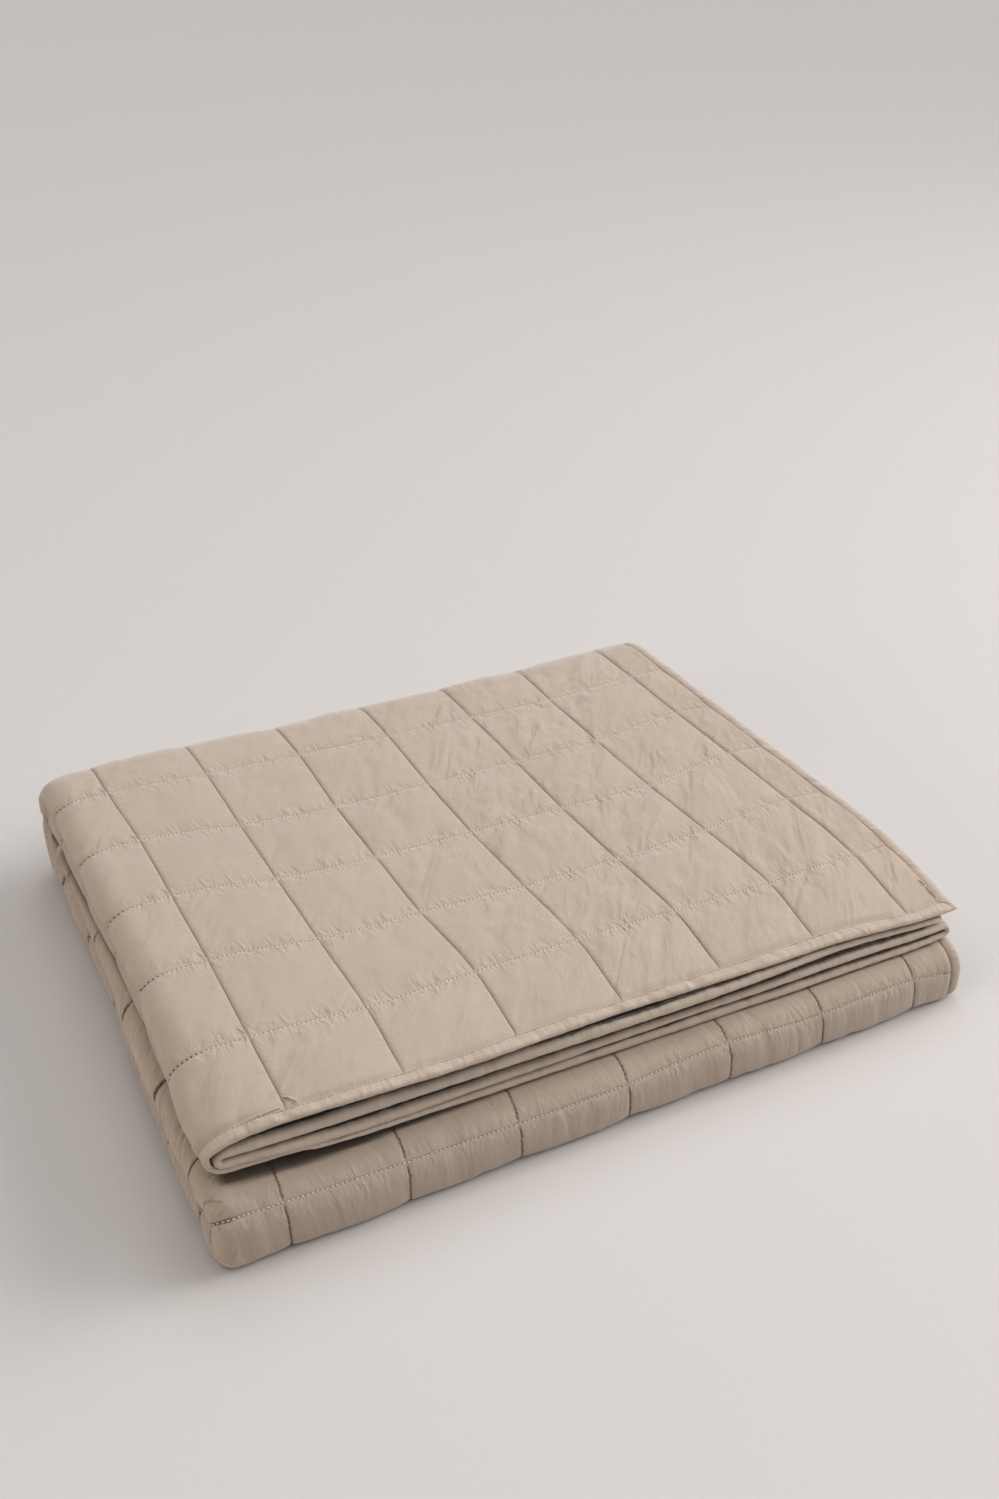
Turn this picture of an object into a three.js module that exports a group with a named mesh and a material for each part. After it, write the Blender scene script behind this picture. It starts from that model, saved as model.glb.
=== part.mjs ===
// A quilted bedspread, folded flat: in half, in half again, then in three like a letter.
// Millimetres, +Z up, +X along the front edge to the right, +Y to the back, resting on z = 0.
//
// The sheet is one solid. Its flat width runs through a back-and-forth section of four layers:
//   layer 1 (outside) - outer loop at the left - layer 4 - half fold at the right -
//   layer 3 - inner loop at the left - layer 2.
// That four-layer strip is then folded in three along its length:
//   top run - back fold - bottom run - front fold - middle run, whose end lies inside.
// Four folded strips of the same cloth bind the four raw edges.
import * as THREE from "three";

// ---------------------------------------------------------------- sizes
const FLAT_WIDTH = 2506; // across the quilting columns
const FLAT_LENGTH = 1614; // along the strip
const CLOTH = 4.4; // quilted cloth, pressed by its own weight
const EDGE_CLOTH = 2.0; // the raw edge squeezed inside its binding
const BIND_WIDTH = 10.6; // finished width of a binding
const BIND_WALL = 0.9; // one leg of the folded binding strip
const CLEAR = 0.3; // between a binding and the cloth in it
const EDGE_INSET = BIND_WALL + CLEAR; // raw edge, behind the binding's fold
const STEP_IN = 11.3; // the squeezed margin ends here
const STEP_OUT = 14.5; // and the full thickness starts here
const SIDE_BIND_START = 11.1; // side bindings butt the end bindings
const PACK_GAP = 0.75; // half of the space between two runs

// The strip's run along Y, measured at the outside of layer 1. Over the stack's width the
// bound front edge (edge) wanders a little, and the back fold (back) turns later at the right.
const TOP_FRONT_Y = -77;
const BACK_TURN_Y = 390;
const RUN_ENDS = [
  { x: -75, edge: -3, back: -18 },
  { x: 0, edge: -3.5, back: -10 },
  { x: 90, edge: -3, back: -4 },
  { x: 172, edge: 3.5, back: 0 },
  { x: 258, edge: 2, back: 2 },
  { x: 344, edge: 0, back: 4 },
  { x: 430, edge: 1.5, back: 5 },
  { x: 516, edge: 0, back: 6 },
  { x: 570, edge: -1.5, back: 6 },
];
const BACK_BULGE = 44; // how far the back fold stands out behind its turn
const FRONT_TURN_Y = -79; // where the front fold starts to turn
const FRONT_BULGE = 24; // how far the front fold stands out
const FRONT_SAG = 4.5; // how square the front fold sits on its lower half (2 is round)
const INNER_BACK_BULGE = 13; // inside of the back fold, round the middle run
const INNER_FRONT_BULGE = 2.2; // inside of the front fold
const MIDDLE_END_Y = 366; // free end of the middle run, inside the back fold

// Height of the stack over its width. lower: top of the bottom run. middle: top of the
// middle run. top: top of the whole. The four layers turn at the left, so it is thickest there.
const STACK = [
  { x: -75, lower: 29, middle: 58, top: 101 },
  { x: -30, lower: 27, middle: 54, top: 103 },
  { x: 30, lower: 24, middle: 48, top: 102.5 },
  { x: 110, lower: 23, middle: 46, top: 96.5 },
  { x: 200, lower: 23, middle: 46, top: 91.5 },
  { x: 300, lower: 23, middle: 46, top: 88.5 },
  { x: 430, lower: 23.5, middle: 47, top: 87 },
  { x: 540, lower: 24, middle: 47.5, top: 87.5 },
  { x: 600, lower: 24, middle: 47.5, top: 86 },
];

// How the top run rises and sinks from its bound front edge to the back fold.
const CROWN = [
  { y: -90, lift: -7.5 },
  { y: -20, lift: -3 },
  { y: 90, lift: 0 },
  { y: 190, lift: 0.5 },
  { y: 300, lift: -1.5 },
  { y: 400, lift: -5.5 },
  { y: 450, lift: -7 },
];

// The loose front right corner of layer 1 hangs lower.
const CORNER_DROP = { x: 590, y: -100, drop: 17, reach: 120 };

// The strip's section at stations along its length. side1, side2: the bound side edges of
// layers 1 and 2. half: tip of the half fold. outer, inner: tips of the two left loops.
const STATIONS = [
  { v: 0, side1: 566, side2: 545, half: 556, outer: -61, inner: -51 },
  { v: 120, side1: 565, side2: 547, half: 554, outer: -58, inner: -47 },
  { v: 300, side1: 564, side2: 548, half: 552, outer: -53, inner: -42 },
  { v: 470, side1: 563, side2: 547, half: 551, outer: -48, inner: -37 },
  { v: 560, side1: 560, side2: 546, half: 549, outer: -47, inner: -37 },
  { v: 700, side1: 556, side2: 545, half: 547, outer: -49, inner: -39 },
  { v: 950, side1: 553, side2: 543, half: 545, outer: -54, inner: -44 },
  { v: 1100, side1: 553.5, side2: 543, half: 545.5, outer: -62, inner: -51 },
  { v: 1180, side1: 553.5, side2: 543, half: 545.5, outer: -63, inner: -52 },
  { v: 1320, side1: 552, side2: 542, half: 544, outer: -55, inner: -45 },
  { v: 1614, side1: 550, side2: 541, half: 542, outer: -45, inner: -35 },
];

// Where layers 2 and 3 lie between layer 1 (0) and layer 4 (1) at the fanned front edge.
const FAN = [
  { x: -60, second: 0.34, third: 0.67 },
  { x: 20, second: 0.42, third: 0.76 },
  { x: 130, second: 0.4, third: 0.8 },
  { x: 300, second: 0.33, third: 0.72 },
  { x: 430, second: 0.27, third: 0.66 },
  { x: 560, second: 0.32, third: 0.64 },
];
const FAN_DEPTH = 170; // the fan dies away this far in from the front edge

// Loops: how far each half of an outer loop reaches, and where it is widest (0 layer 1, 1 layer 4).
const TOP_LOOP = { reachOut: 40, reachIn: 16, widest: 0.44 };
const LOW_LOOP = { reachOut: 13, reachIn: 12, widest: 0.5 };

// Facets. Layer 1 and the top run have theirs closer together towards the loose corner.
const LAYER_PARTS = 7,
  OUTER_LOOP_PARTS = 8,
  SMALL_LOOP_PARTS = 6;
const LAYER1_STEPS = [0.07, 0.18, 0.34, 0.5, 0.66, 0.83, 1];
const RUN_TOP_STEPS = [0.07, 0.2, 0.38, 0.58, 0.79, 1];
const BACK_PARTS = 7,
  RUN_BOTTOM_PARTS = 4,
  FRONT_PARTS = 8,
  RUN_MIDDLE_PARTS = 4;

// ---------------------------------------------------------------- helpers
const lerp = (a, b, t) => a + (b - a) * t;
const clamp = (t, a = 0, b = 1) => Math.min(b, Math.max(a, t));
const smooth = (t) => {
  const c = clamp(t);
  return c * c * (3 - 2 * c);
};

// A column of a table, read smoothly at a value of its key column.
function read(table, key, column, value) {
  const last = table.length - 1;
  if (value <= table[0][key]) return table[0][column];
  if (value >= table[last][key]) return table[last][column];
  let i = 0;
  while (value > table[i + 1][key]) i++;
  const a = table[i],
    b = table[i + 1],
    span = b[key] - a[key],
    t = (value - a[key]) / span;
  const slope = (p, q) => (q[column] - p[column]) / (q[key] - p[key]);
  const here = slope(a, b);
  const ma = i > 0 ? 0.5 * (slope(table[i - 1], a) + here) : here;
  const mb = i + 2 <= last ? 0.5 * (slope(b, table[i + 2]) + here) : here;
  const t2 = t * t,
    t3 = t2 * t;
  return (
    (2 * t3 - 3 * t2 + 1) * a[column] +
    (t3 - 2 * t2 + t) * ma * span +
    (-2 * t3 + 3 * t2) * b[column] +
    (t3 - t2) * mb * span
  );
}

// ---------------------------------------------------------------- the strip along its length
// Lengths of its five parts at the outside of layer 1, from the named sizes.
const halfRound = (a, b) =>
  (Math.PI / 2) * (3 * (a + b) - Math.sqrt((3 * a + b) * (a + 3 * b)));
const topLength = BACK_TURN_Y - TOP_FRONT_Y;
const backLength = halfRound(BACK_BULGE, 43);
const bottomLength = BACK_TURN_Y - FRONT_TURN_Y;
const frontLength = halfRound(FRONT_BULGE, 23);
const middleLength = MIDDLE_END_Y - FRONT_TURN_Y;
const walk = [topLength, backLength, bottomLength, frontLength, middleLength];
const scaleV = FLAT_LENGTH / walk.reduce((s, l) => s + l, 0);
const marks = [0];
for (const l of walk) marks.push(marks[marks.length - 1] + l * scaleV);

const cornerDrop = (x, y) => {
  const c = CORNER_DROP;
  return c.drop * smooth(1 - Math.hypot(x - c.x, y - c.y) / c.reach);
};
const topAt = (x, y) =>
  read(STACK, "x", "top", x) + read(CROWN, "y", "lift", y) - cornerDrop(x, y);
const topEdgeAt = (x) => TOP_FRONT_Y + read(RUN_ENDS, "x", "edge", x);
const backTurnAt = (x) => BACK_TURN_Y + read(RUN_ENDS, "x", "back", x);
const middleAt = (x) => read(STACK, "x", "middle", x);
const lowerAt = (x) => read(STACK, "x", "lower", x);

// Half an oval from straight up (t = 0) to straight down (t = 1), standing out by bulge.
// Its lower half is squared off by sag.
function turn(y, zHigh, zLow, bulge, t, sag = 2) {
  const a = Math.PI * t,
    mid = (zHigh + zLow) / 2,
    half = (zHigh - zLow) / 2,
    p = a > Math.PI / 2 ? 2 / sag : 1;
  return [
    y + bulge * Math.max(0, Math.sin(a)) ** p,
    mid + half * Math.sign(Math.cos(a)) * Math.abs(Math.cos(a)) ** p,
  ];
}

// The outside (layer 1) and the inside (layer 4) of the strip, in the YZ plane, at length v.
function strip(x, v) {
  const low = lowerAt(x),
    mid = middleAt(x);
  const t = (i) => (v - marks[i]) / (marks[i + 1] - marks[i]);
  if (v < marks[1]) {
    const y = lerp(topEdgeAt(x), backTurnAt(x), t(0));
    return { out: [y, topAt(x, y)], in: [y, mid + PACK_GAP] };
  }
  if (v < marks[2])
    return {
      out: turn(backTurnAt(x), topAt(x, backTurnAt(x)), 0, BACK_BULGE, t(1)),
      in: turn(
        backTurnAt(x),
        mid + PACK_GAP,
        low - PACK_GAP,
        INNER_BACK_BULGE,
        t(1),
      ),
    };
  if (v < marks[3]) {
    const y = lerp(backTurnAt(x), FRONT_TURN_Y, t(2));
    return { out: [y, 0], in: [y, low - PACK_GAP] };
  }
  if (v < marks[4]) {
    const high = mid - PACK_GAP;
    return {
      out: turn(FRONT_TURN_Y, high, 0, -FRONT_BULGE, 1 - t(3), FRONT_SAG),
      in: turn(
        FRONT_TURN_Y,
        low + PACK_GAP,
        low - PACK_GAP,
        -INNER_FRONT_BULGE,
        1 - t(3),
      ),
    };
  }
  const y = lerp(FRONT_TURN_Y, MIDDLE_END_Y, t(4));
  return { out: [y, mid - PACK_GAP], in: [y, low + PACK_GAP] };
}
const depthAt = (x, v) => {
  const s = strip(x, v);
  return Math.hypot(s.in[0] - s.out[0], s.in[1] - s.out[1]);
};

// ---------------------------------------------------------------- the section across the strip
// Columns of the sheet's flat width: which piece of the section, and how far along it.
function columns() {
  const list = [];
  const bound = [EDGE_INSET, STEP_IN, STEP_OUT];
  bound.forEach((d) => list.push({ piece: "layer1", inset: d }));
  LAYER1_STEPS.forEach((t) => list.push({ piece: "layer1", t }));
  for (let i = 1; i <= OUTER_LOOP_PARTS; i++)
    list.push({ piece: "outer", t: i / OUTER_LOOP_PARTS });
  for (let i = 1; i <= LAYER_PARTS; i++)
    list.push({ piece: "layer4", t: i / LAYER_PARTS });
  for (let i = 1; i <= SMALL_LOOP_PARTS; i++)
    list.push({ piece: "half", t: i / SMALL_LOOP_PARTS });
  for (let i = 1; i <= LAYER_PARTS; i++)
    list.push({ piece: "layer3", t: i / LAYER_PARTS });
  for (let i = 1; i <= SMALL_LOOP_PARTS; i++)
    list.push({ piece: "inner", t: i / SMALL_LOOP_PARTS });
  for (let i = 1; i < LAYER_PARTS; i++)
    list.push({ piece: "layer2", t: i / LAYER_PARTS });
  bound.reverse().forEach((d) => list.push({ piece: "layer2", inset: d }));
  return list;
}

// The section's centre line at length v: [x, depth] for each column, depth from the outside.
function section(v, cols) {
  const at = (name) => read(STATIONS, "v", name, v);
  const fan = 1 - smooth(v / FAN_DEPTH);
  const level = (layer, x) => {
    const room = depthAt(x, v) - CLOTH;
    const second = lerp(1 / 3, read(FAN, "x", "second", x), fan);
    const third = lerp(2 / 3, read(FAN, "x", "third", x), fan);
    return CLOTH / 2 + room * [0, second, third, 1][layer - 1];
  };
  const low = smooth((v - marks[1]) / (marks[2] - marks[1]));
  const loop = (name) => lerp(TOP_LOOP[name], LOW_LOOP[name], low);
  const outerTip = at("outer") + CLOTH / 2,
    innerTip = at("inner") + CLOTH / 2;
  const halfTip = at("half") - CLOTH / 2;
  const startOut = outerTip + loop("reachOut"),
    startIn = outerTip + loop("reachIn");
  const halfReach = (level(4, halfTip) - level(3, halfTip)) / 2;
  const innerReach = (level(3, innerTip) - level(2, innerTip)) / 2;
  const halfStart = halfTip - halfReach,
    innerStart = innerTip + innerReach;
  const arc = (tip, startA, startB, a, b, widest, t) => {
    // from level a at startA, out to the tip at the widest level, back to level b at startB
    const level = lerp(a, b, widest);
    const angle = Math.PI * (t - 0.5);
    const x = t < 0.5 ? lerp(startA, tip, Math.cos(angle)) : lerp(startB, tip, Math.cos(angle));
    const n = t < 0.5 ? lerp(level, a, -Math.sin(angle)) : lerp(level, b, Math.sin(angle));
    return [x, n];
  };
  return cols.map((c) => {
    if (c.piece === "layer1") {
      const x =
        c.inset !== undefined
          ? at("side1") - c.inset
          : lerp(at("side1") - STEP_OUT, startOut, c.t);
      return [x, level(1, x)];
    }
    if (c.piece === "outer")
      return arc(
        outerTip,
        startOut,
        startIn,
        level(1, startOut),
        level(4, startIn),
        loop("widest"),
        c.t,
      );
    if (c.piece === "layer4") {
      const x = lerp(startIn, halfStart, c.t);
      return [x, level(4, x)];
    }
    if (c.piece === "half")
      return arc(
        halfTip,
        halfStart,
        halfStart,
        level(4, halfStart),
        level(3, halfStart),
        0.5,
        c.t,
      );
    if (c.piece === "layer3") {
      const x = lerp(halfStart, innerStart, c.t);
      return [x, level(3, x)];
    }
    if (c.piece === "inner")
      return arc(
        innerTip,
        innerStart,
        innerStart,
        level(3, innerStart),
        level(2, innerStart),
        0.5,
        c.t,
      );
    const x =
      c.inset !== undefined
        ? at("side2") - c.inset
        : lerp(innerStart, at("side2") - STEP_OUT, c.t);
    return [x, level(2, x)];
  });
}

// A point of the folded cloth: column j of a section at length v, standing off by h.
function place(line, j, v, h) {
  const a = line[Math.max(0, j - 1)],
    b = line[Math.min(line.length - 1, j + 1)];
  const dx = b[0] - a[0],
    dn = b[1] - a[1],
    d = Math.hypot(dx, dn);
  const x = line[j][0] + (-dn / d) * h,
    n = line[j][1] + (dx / d) * h;
  const s = strip(x, v),
    f = n / Math.hypot(s.in[0] - s.out[0], s.in[1] - s.out[1]);
  return [x, lerp(s.out[0], s.in[0], f), lerp(s.out[1], s.in[1], f)];
}

// ---------------------------------------------------------------- rows along the strip
function rows(first, last) {
  const list = [first, STEP_IN, STEP_OUT];
  RUN_TOP_STEPS.forEach((t) => list.push(lerp(0, marks[1], t)));
  const parts = [BACK_PARTS, RUN_BOTTOM_PARTS, FRONT_PARTS, RUN_MIDDLE_PARTS];
  parts.forEach((n, k) => {
    for (let i = 1; i <= n; i++)
      list.push(lerp(marks[k + 1], marks[k + 2], i / n));
  });
  list.pop();
  list.push(FLAT_LENGTH - STEP_OUT, FLAT_LENGTH - STEP_IN, last);
  return list;
}

// ---------------------------------------------------------------- meshes
function meshOf(name, points, faces, color) {
  const shiftX = (566 - 63) / 2; // the middle of the folded stack
  const shiftY = (BACK_TURN_Y + BACK_BULGE + FRONT_TURN_Y - FRONT_BULGE) / 2;
  let volume = 0;
  const [A, B, C] = [0, 1, 2].map(() => new THREE.Vector3());
  for (const [a, b, c] of faces)
    volume += A.fromArray(points[a]).dot(
      B.fromArray(points[b]).cross(C.fromArray(points[c])),
    );
  const positions = new Float32Array(points.length * 3);
  points.forEach((p, i) =>
    positions.set([p[0] - shiftX, p[1] - shiftY, p[2]], i * 3),
  );
  const index = faces.flatMap(([a, b, c]) => (volume > 0 ? [a, b, c] : [a, c, b]));
  const geometry = new THREE.BufferGeometry();
  geometry.setAttribute("position", new THREE.BufferAttribute(positions, 3));
  geometry.setIndex(index);
  geometry.computeVertexNormals();
  const mesh = new THREE.Mesh(
    geometry,
    new THREE.MeshStandardMaterial({ color, roughness: 0.95, metalness: 0 }),
  );
  mesh.name = name;
  return mesh;
}

// Rings of equal length, one after the other. turned[j] picks the other diagonal on face j of
// each ring, so that a binding's facets follow those of the cloth inside it.
function ringSolid(name, rings, color, turned) {
  const n = rings[0].length,
    points = rings.flat(),
    faces = [];
  for (let i = 0; i + 1 < rings.length; i++)
    for (let j = 0; j < n; j++) {
      const a = i * n + j,
        b = i * n + ((j + 1) % n),
        c = a + n,
        d = b + n;
      if (turned[j]) faces.push([a, b, c], [b, d, c]);
      else faces.push([a, b, d], [a, d, c]);
    }
  return { points, faces, n, name, color };
}

const cols = columns();
const COLOR = 0xbbae9b;

function quilt() {
  const vs = rows(EDGE_INSET, FLAT_LENGTH - EDGE_INSET);
  const nj = cols.length;
  const thin = (inset) => inset <= STEP_IN + 1e-6;
  const points = [];
  vs.forEach((v) => {
    const line = section(v, cols);
    const edgeV = thin(v) || thin(FLAT_LENGTH - v);
    cols.forEach((c, j) => {
      const edge = edgeV || (c.inset !== undefined && thin(c.inset));
      const h = (edge ? EDGE_CLOTH : CLOTH) / 2;
      points.push(place(line, j, v, h), place(line, j, v, -h));
    });
  });
  const id = (i, j, side) => (i * nj + j) * 2 + side;
  const faces = [];
  const quad = (a, b, c, d) => faces.push([a, b, c], [a, c, d]);
  for (let i = 0; i + 1 < vs.length; i++)
    for (let j = 0; j + 1 < nj; j++) {
      quad(id(i, j, 0), id(i, j + 1, 0), id(i + 1, j + 1, 0), id(i + 1, j, 0));
      quad(id(i, j, 1), id(i + 1, j, 1), id(i + 1, j + 1, 1), id(i, j + 1, 1));
    }
  for (let i = 0; i + 1 < vs.length; i++) {
    quad(id(i, 0, 1), id(i, 0, 0), id(i + 1, 0, 0), id(i + 1, 0, 1));
    const j = nj - 1;
    quad(id(i, j, 0), id(i, j, 1), id(i + 1, j, 1), id(i + 1, j, 0));
  }
  for (let j = 0; j + 1 < nj; j++) {
    quad(id(0, j, 0), id(0, j, 1), id(0, j + 1, 1), id(0, j + 1, 0));
    const i = vs.length - 1;
    quad(id(i, j, 1), id(i, j, 0), id(i, j + 1, 0), id(i, j + 1, 1));
  }
  return meshOf("quilted_sheet", points, faces, COLOR);
}

// A binding's folded profile: [distance in from its fold, stand-off].
const BIND_PROFILE = [
  [0, -CLOTH / 2],
  [BIND_WIDTH, -CLOTH / 2],
  [BIND_WIDTH, -CLOTH / 2 + BIND_WALL],
  [BIND_WALL, -CLOTH / 2 + BIND_WALL],
  [BIND_WALL, CLOTH / 2 - BIND_WALL],
  [BIND_WIDTH, CLOTH / 2 - BIND_WALL],
  [BIND_WIDTH, CLOTH / 2],
  [0, CLOTH / 2],
];

// The profile's faces that run back towards its fold.
const runsBack = BIND_PROFILE.map(
  ([d], j) => BIND_PROFILE[(j + 1) % BIND_PROFILE.length][0] < d,
);

function closed(name, rings, reversed) {
  const turned = runsBack.map((back) => back !== reversed);
  const s = ringSolid(name, rings, COLOR, turned);
  const n = s.n,
    last = (rings.length - 1) * n;
  // the folded profile's end: its web, then its two legs
  const cap = [
    [0, 3, 4],
    [0, 4, 7],
    [0, 1, 2],
    [0, 2, 3],
    [4, 5, 6],
    [4, 6, 7],
  ];
  cap.forEach(([a, b, c]) => {
    s.faces.push([a, c, b], [last + a, last + b, last + c]);
  });
  return meshOf(s.name, s.points, s.faces, s.color);
}

// End bindings run across the whole flat width; side bindings between them.
function endBinding(name, atEnd) {
  const bare = cols.map((c) => ({ ...c }));
  bare[0].inset = 0;
  bare[bare.length - 1].inset = 0;
  const rings = bare.map(() => []);
  BIND_PROFILE.forEach(([d, h]) => {
    const v = atEnd ? FLAT_LENGTH - d : d;
    const line = section(v, bare);
    bare.forEach((c, j) => rings[j].push(place(line, j, v, h)));
  });
  return closed(name, rings, atEnd);
}

function sideBinding(name, piece) {
  const vs = rows(SIDE_BIND_START, FLAT_LENGTH - SIDE_BIND_START).filter(
    (v, i, all) => i === 0 || i === all.length - 1 || (v > STEP_IN && v < FLAT_LENGTH - STEP_IN),
  );
  const rings = vs.map((v) =>
    BIND_PROFILE.map(([d, h]) => {
      // a short stretch of the section, straight in from its bound side edge
      const insets = piece === "layer1" ? [d - 2, d, d + 2] : [d + 2, d, d - 2];
      const line = section(
        v,
        insets.map((inset) => ({ piece, inset })),
      );
      return place(line, 1, v, h);
    }),
  );
  return closed(name, rings, piece === "layer2");
}

const cover = new THREE.Group();
cover.add(
  quilt(),
  endBinding("binding_front_end", false),
  endBinding("binding_inside_end", true),
  sideBinding("binding_outer_side", "layer1"),
  sideBinding("binding_inner_side", "layer2"),
);
export default cover;
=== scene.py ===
"""A quilted bed cover, folded into a flat stack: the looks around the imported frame.

Lengths in the tables are millimetres in the frame that the folding is worked out in: x from a
quilting column near the left, y from a quilting row near the front, z from the floor. Every mesh
is moved into the row's frame, in metres, as it is made.

The cloth's own coordinates are U, across the quilting columns from the bound side at the right,
and V, along the strip from its bound front end.
"""
import math
import bpy
import numpy as np
from mathutils import Matrix, Vector


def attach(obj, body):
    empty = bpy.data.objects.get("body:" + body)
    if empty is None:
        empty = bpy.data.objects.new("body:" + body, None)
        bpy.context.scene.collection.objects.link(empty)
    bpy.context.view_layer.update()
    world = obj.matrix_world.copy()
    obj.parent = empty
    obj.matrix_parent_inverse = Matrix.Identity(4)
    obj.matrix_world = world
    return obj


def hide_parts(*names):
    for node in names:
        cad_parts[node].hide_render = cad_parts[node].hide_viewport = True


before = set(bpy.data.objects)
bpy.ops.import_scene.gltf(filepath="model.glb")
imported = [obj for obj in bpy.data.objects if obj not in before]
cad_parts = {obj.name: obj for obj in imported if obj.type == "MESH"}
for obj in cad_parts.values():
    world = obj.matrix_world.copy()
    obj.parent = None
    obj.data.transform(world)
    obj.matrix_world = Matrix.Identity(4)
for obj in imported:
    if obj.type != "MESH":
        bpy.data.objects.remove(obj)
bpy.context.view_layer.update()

# ------------------------------------------------------------------ sizes, as in the solids
FLAT_WIDTH, FLAT_LENGTH = 2506.0, 1614.0
CLOTH = 4.4
EDGE_CLOTH = 2.0
BIND_WIDTH = 10.6
CLEAR = 0.3
PACK_GAP = 0.75
TOP_FRONT_Y, BACK_TURN_Y = -77.0, 390.0
BACK_BULGE, FRONT_TURN_Y, FRONT_BULGE, FRONT_SAG = 44.0, -79.0, 24.0, 4.5
INNER_BACK_BULGE, INNER_FRONT_BULGE, MIDDLE_END_Y = 13.0, 2.2, 366.0
SHIFT_X, SHIFT_Y = (566 - 63) / 2, (390 + 44 - 79 - 24) / 2

CELL = 86.0          # quilting square
FIRST_COLUMN = 49.0  # U of the first quilting column
FIRST_ROW = 76.0     # V of the first quilting row
FRONT_ROW = 1108.0   # V of the row that shows on the lower front fold


def table(names, *rows):
    names = names.split()
    return {n: np.array([r[i] for r in rows], float) for i, n in enumerate(names)}


RUN_ENDS = table("x edge back", (-75, -3, -18), (-30, -4.5, -13), (0, -5.5, -10), (34, -6.3, -8), (86, -5.5, -4), (139, -4, -2), (190, -1.5, 0),
                 (242, .5, 2), (300, 0, 3), (344, -1, 4), (388, -2, 4.5), (437, -2.5, 5), (480, -4.5, 5.5), (516, -6, 6), (545, -5, 6), (570, -3.5, 6))
STACK = table("x lower middle top", (-75, 29, 58, 101), (-30, 27, 54, 103), (30, 24, 48, 102.5), (110, 23, 46, 96.5),
              (200, 23, 46, 91.5), (300, 23, 46, 88.5), (430, 23.5, 47, 87), (540, 24, 47.5, 87.5), (600, 24, 47.5, 86))
CROWN = table("y lift", (-90, -7.5), (-20, -1.5), (90, -1.5), (190, -2.5), (300, -2.5), (400, -3), (450, -5))
CORNER_DROP = dict(x=590, y=-100, drop=8.5, reach=150)
STATIONS = table("v side1 side2 half outer inner",
                 (0, 558.8, 544, 553.5, -61, -54.3), (60, 562.2, 545, 554, -60, -52.5), (120, 564, 546, 554, -56, -47.5), (200, 564.5, 547.5, 553, -51, -41),
                 (300, 564, 548, 552, -49, -39), (470, 563, 547, 551, -47, -37), (560, 560, 546, 549, -47, -37), (700, 556, 545, 547, -49, -39),
                 (830, 554, 544, 546, -54, -43), (920, 553, 543, 545, -59, -48), (1010, 553, 543, 545, -62.5, -51), (1100, 553.5, 543, 545.5, -63.5, -52),
                 (1180, 553.5, 543, 545.5, -64.5, -53), (1250, 553, 542.5, 545, -63.5, -52), (1335, 552, 542, 544, -60, -49),
                 (1420, 551.5, 541.5, 543.5, -54, -44), (1614, 550, 541, 542, -46, -36))
# The top run's fold at the left comes to an edge near its top, back from the front end: how much of
# that shape there is, where the edge lies from the outermost, and how far down from the top.
EDGE_SHAPE = table("v much start down reach", (0, 0, 15, 9, 52), (60, .25, 15, 9, 46), (120, .9, 15, 9, 36), (200, 1, 14, 8.5, 31), (330, 1, 14, 8, 29), (470, 1, 15, 8, 30), (560, .6, 18, 8, 36),
                   (700, 0, 20, 8, 40))
# How far the inner layers' front ends stand behind the outer one's.
STEP_BACK = table("x second third fourth", (-60, 0, 0, 0), (-20, 0, 0, 0), (34, 4, 2.5, 3), (90, 4, 4, 5), (139, 3, 5.5, 4), (190, -.5, 2, 1), (242, -3.5, -.5, -2),
                  (344, -4, -1.5, -3), (437, -1, -3.5, -5), (516, 1.5, -1, -2.5), (560, -2, -3, -4))
# How much higher than the lower fold the fourth layer's front end stands near the left.
LIFT = table("x lift", (-75, 9), (-25, 9), (0, 10), (30, 8), (90, 4), (140, 1.5), (200, 0), (600, 0))
# How wide the front end's binding looks: it rolls over more in some places than in others.
BIND_SHARE = table("x w", (-60, .92), (0, .82), (34, .8), (86, .86), (139, .84), (172, 1.0), (242, .78), (300, .86), (344, .93), (437, 1.06), (516, .86), (560, .95))
FAN = table("x second third", (-60, .34, .67), (20, .42, .76), (130, .40, .80), (300, .33, .72), (430, .27, .66), (560, .32, .64))
FAN_DEPTH = 170.0
TOP_LOOP, LOW_LOOP = dict(reachOut=40, reachIn=16, widest=.44), dict(reachOut=13, reachIn=12, widest=.5)

# Where the quilting columns lie over the strip's length: x = start + pitch * (565 - U).
DRIFT = table("v start pitch", (0, 0, 1), (470, 0, 1), (900, -11, 1.004), (1136, -14.5, 1.006), (1614, -13, 1.006))
# Height of the quilting row on the lower front fold.
FRONT_ROW_Z = table("x z", (-70, 43), (-16, 41), (72, 36.5), (157, 34.5), (245, 34), (332, 35), (415, 33), (504, 32), (541, 29), (560, 27))


# ------------------------------------------------------------------ the folded cloth as a map
def smooth(t):
    t = np.clip(t, 0, 1)
    return t * t * (3 - 2 * t)


def lerp(a, b, t):
    return a + (b - a) * t


def read(tab, key, col, value):
    """A column of a table, read smoothly at values of its key column."""
    k, c = tab[key], tab[col]
    value = np.clip(np.asarray(value, float), k[0], k[-1])
    i = np.clip(np.searchsorted(k, value, side="right") - 1, 0, len(k) - 2)
    slope = np.diff(c) / np.diff(k)
    m = np.concatenate([[slope[0]], 0.5 * (slope[1:] + slope[:-1]), [slope[-1]]])
    span = k[i + 1] - k[i]
    t = (value - k[i]) / span
    t2, t3 = t * t, t * t * t
    return (2 * t3 - 3 * t2 + 1) * c[i] + (t3 - 2 * t2 + t) * m[i] * span + (-2 * t3 + 3 * t2) * c[i + 1] + (t3 - t2) * m[i + 1] * span


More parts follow.
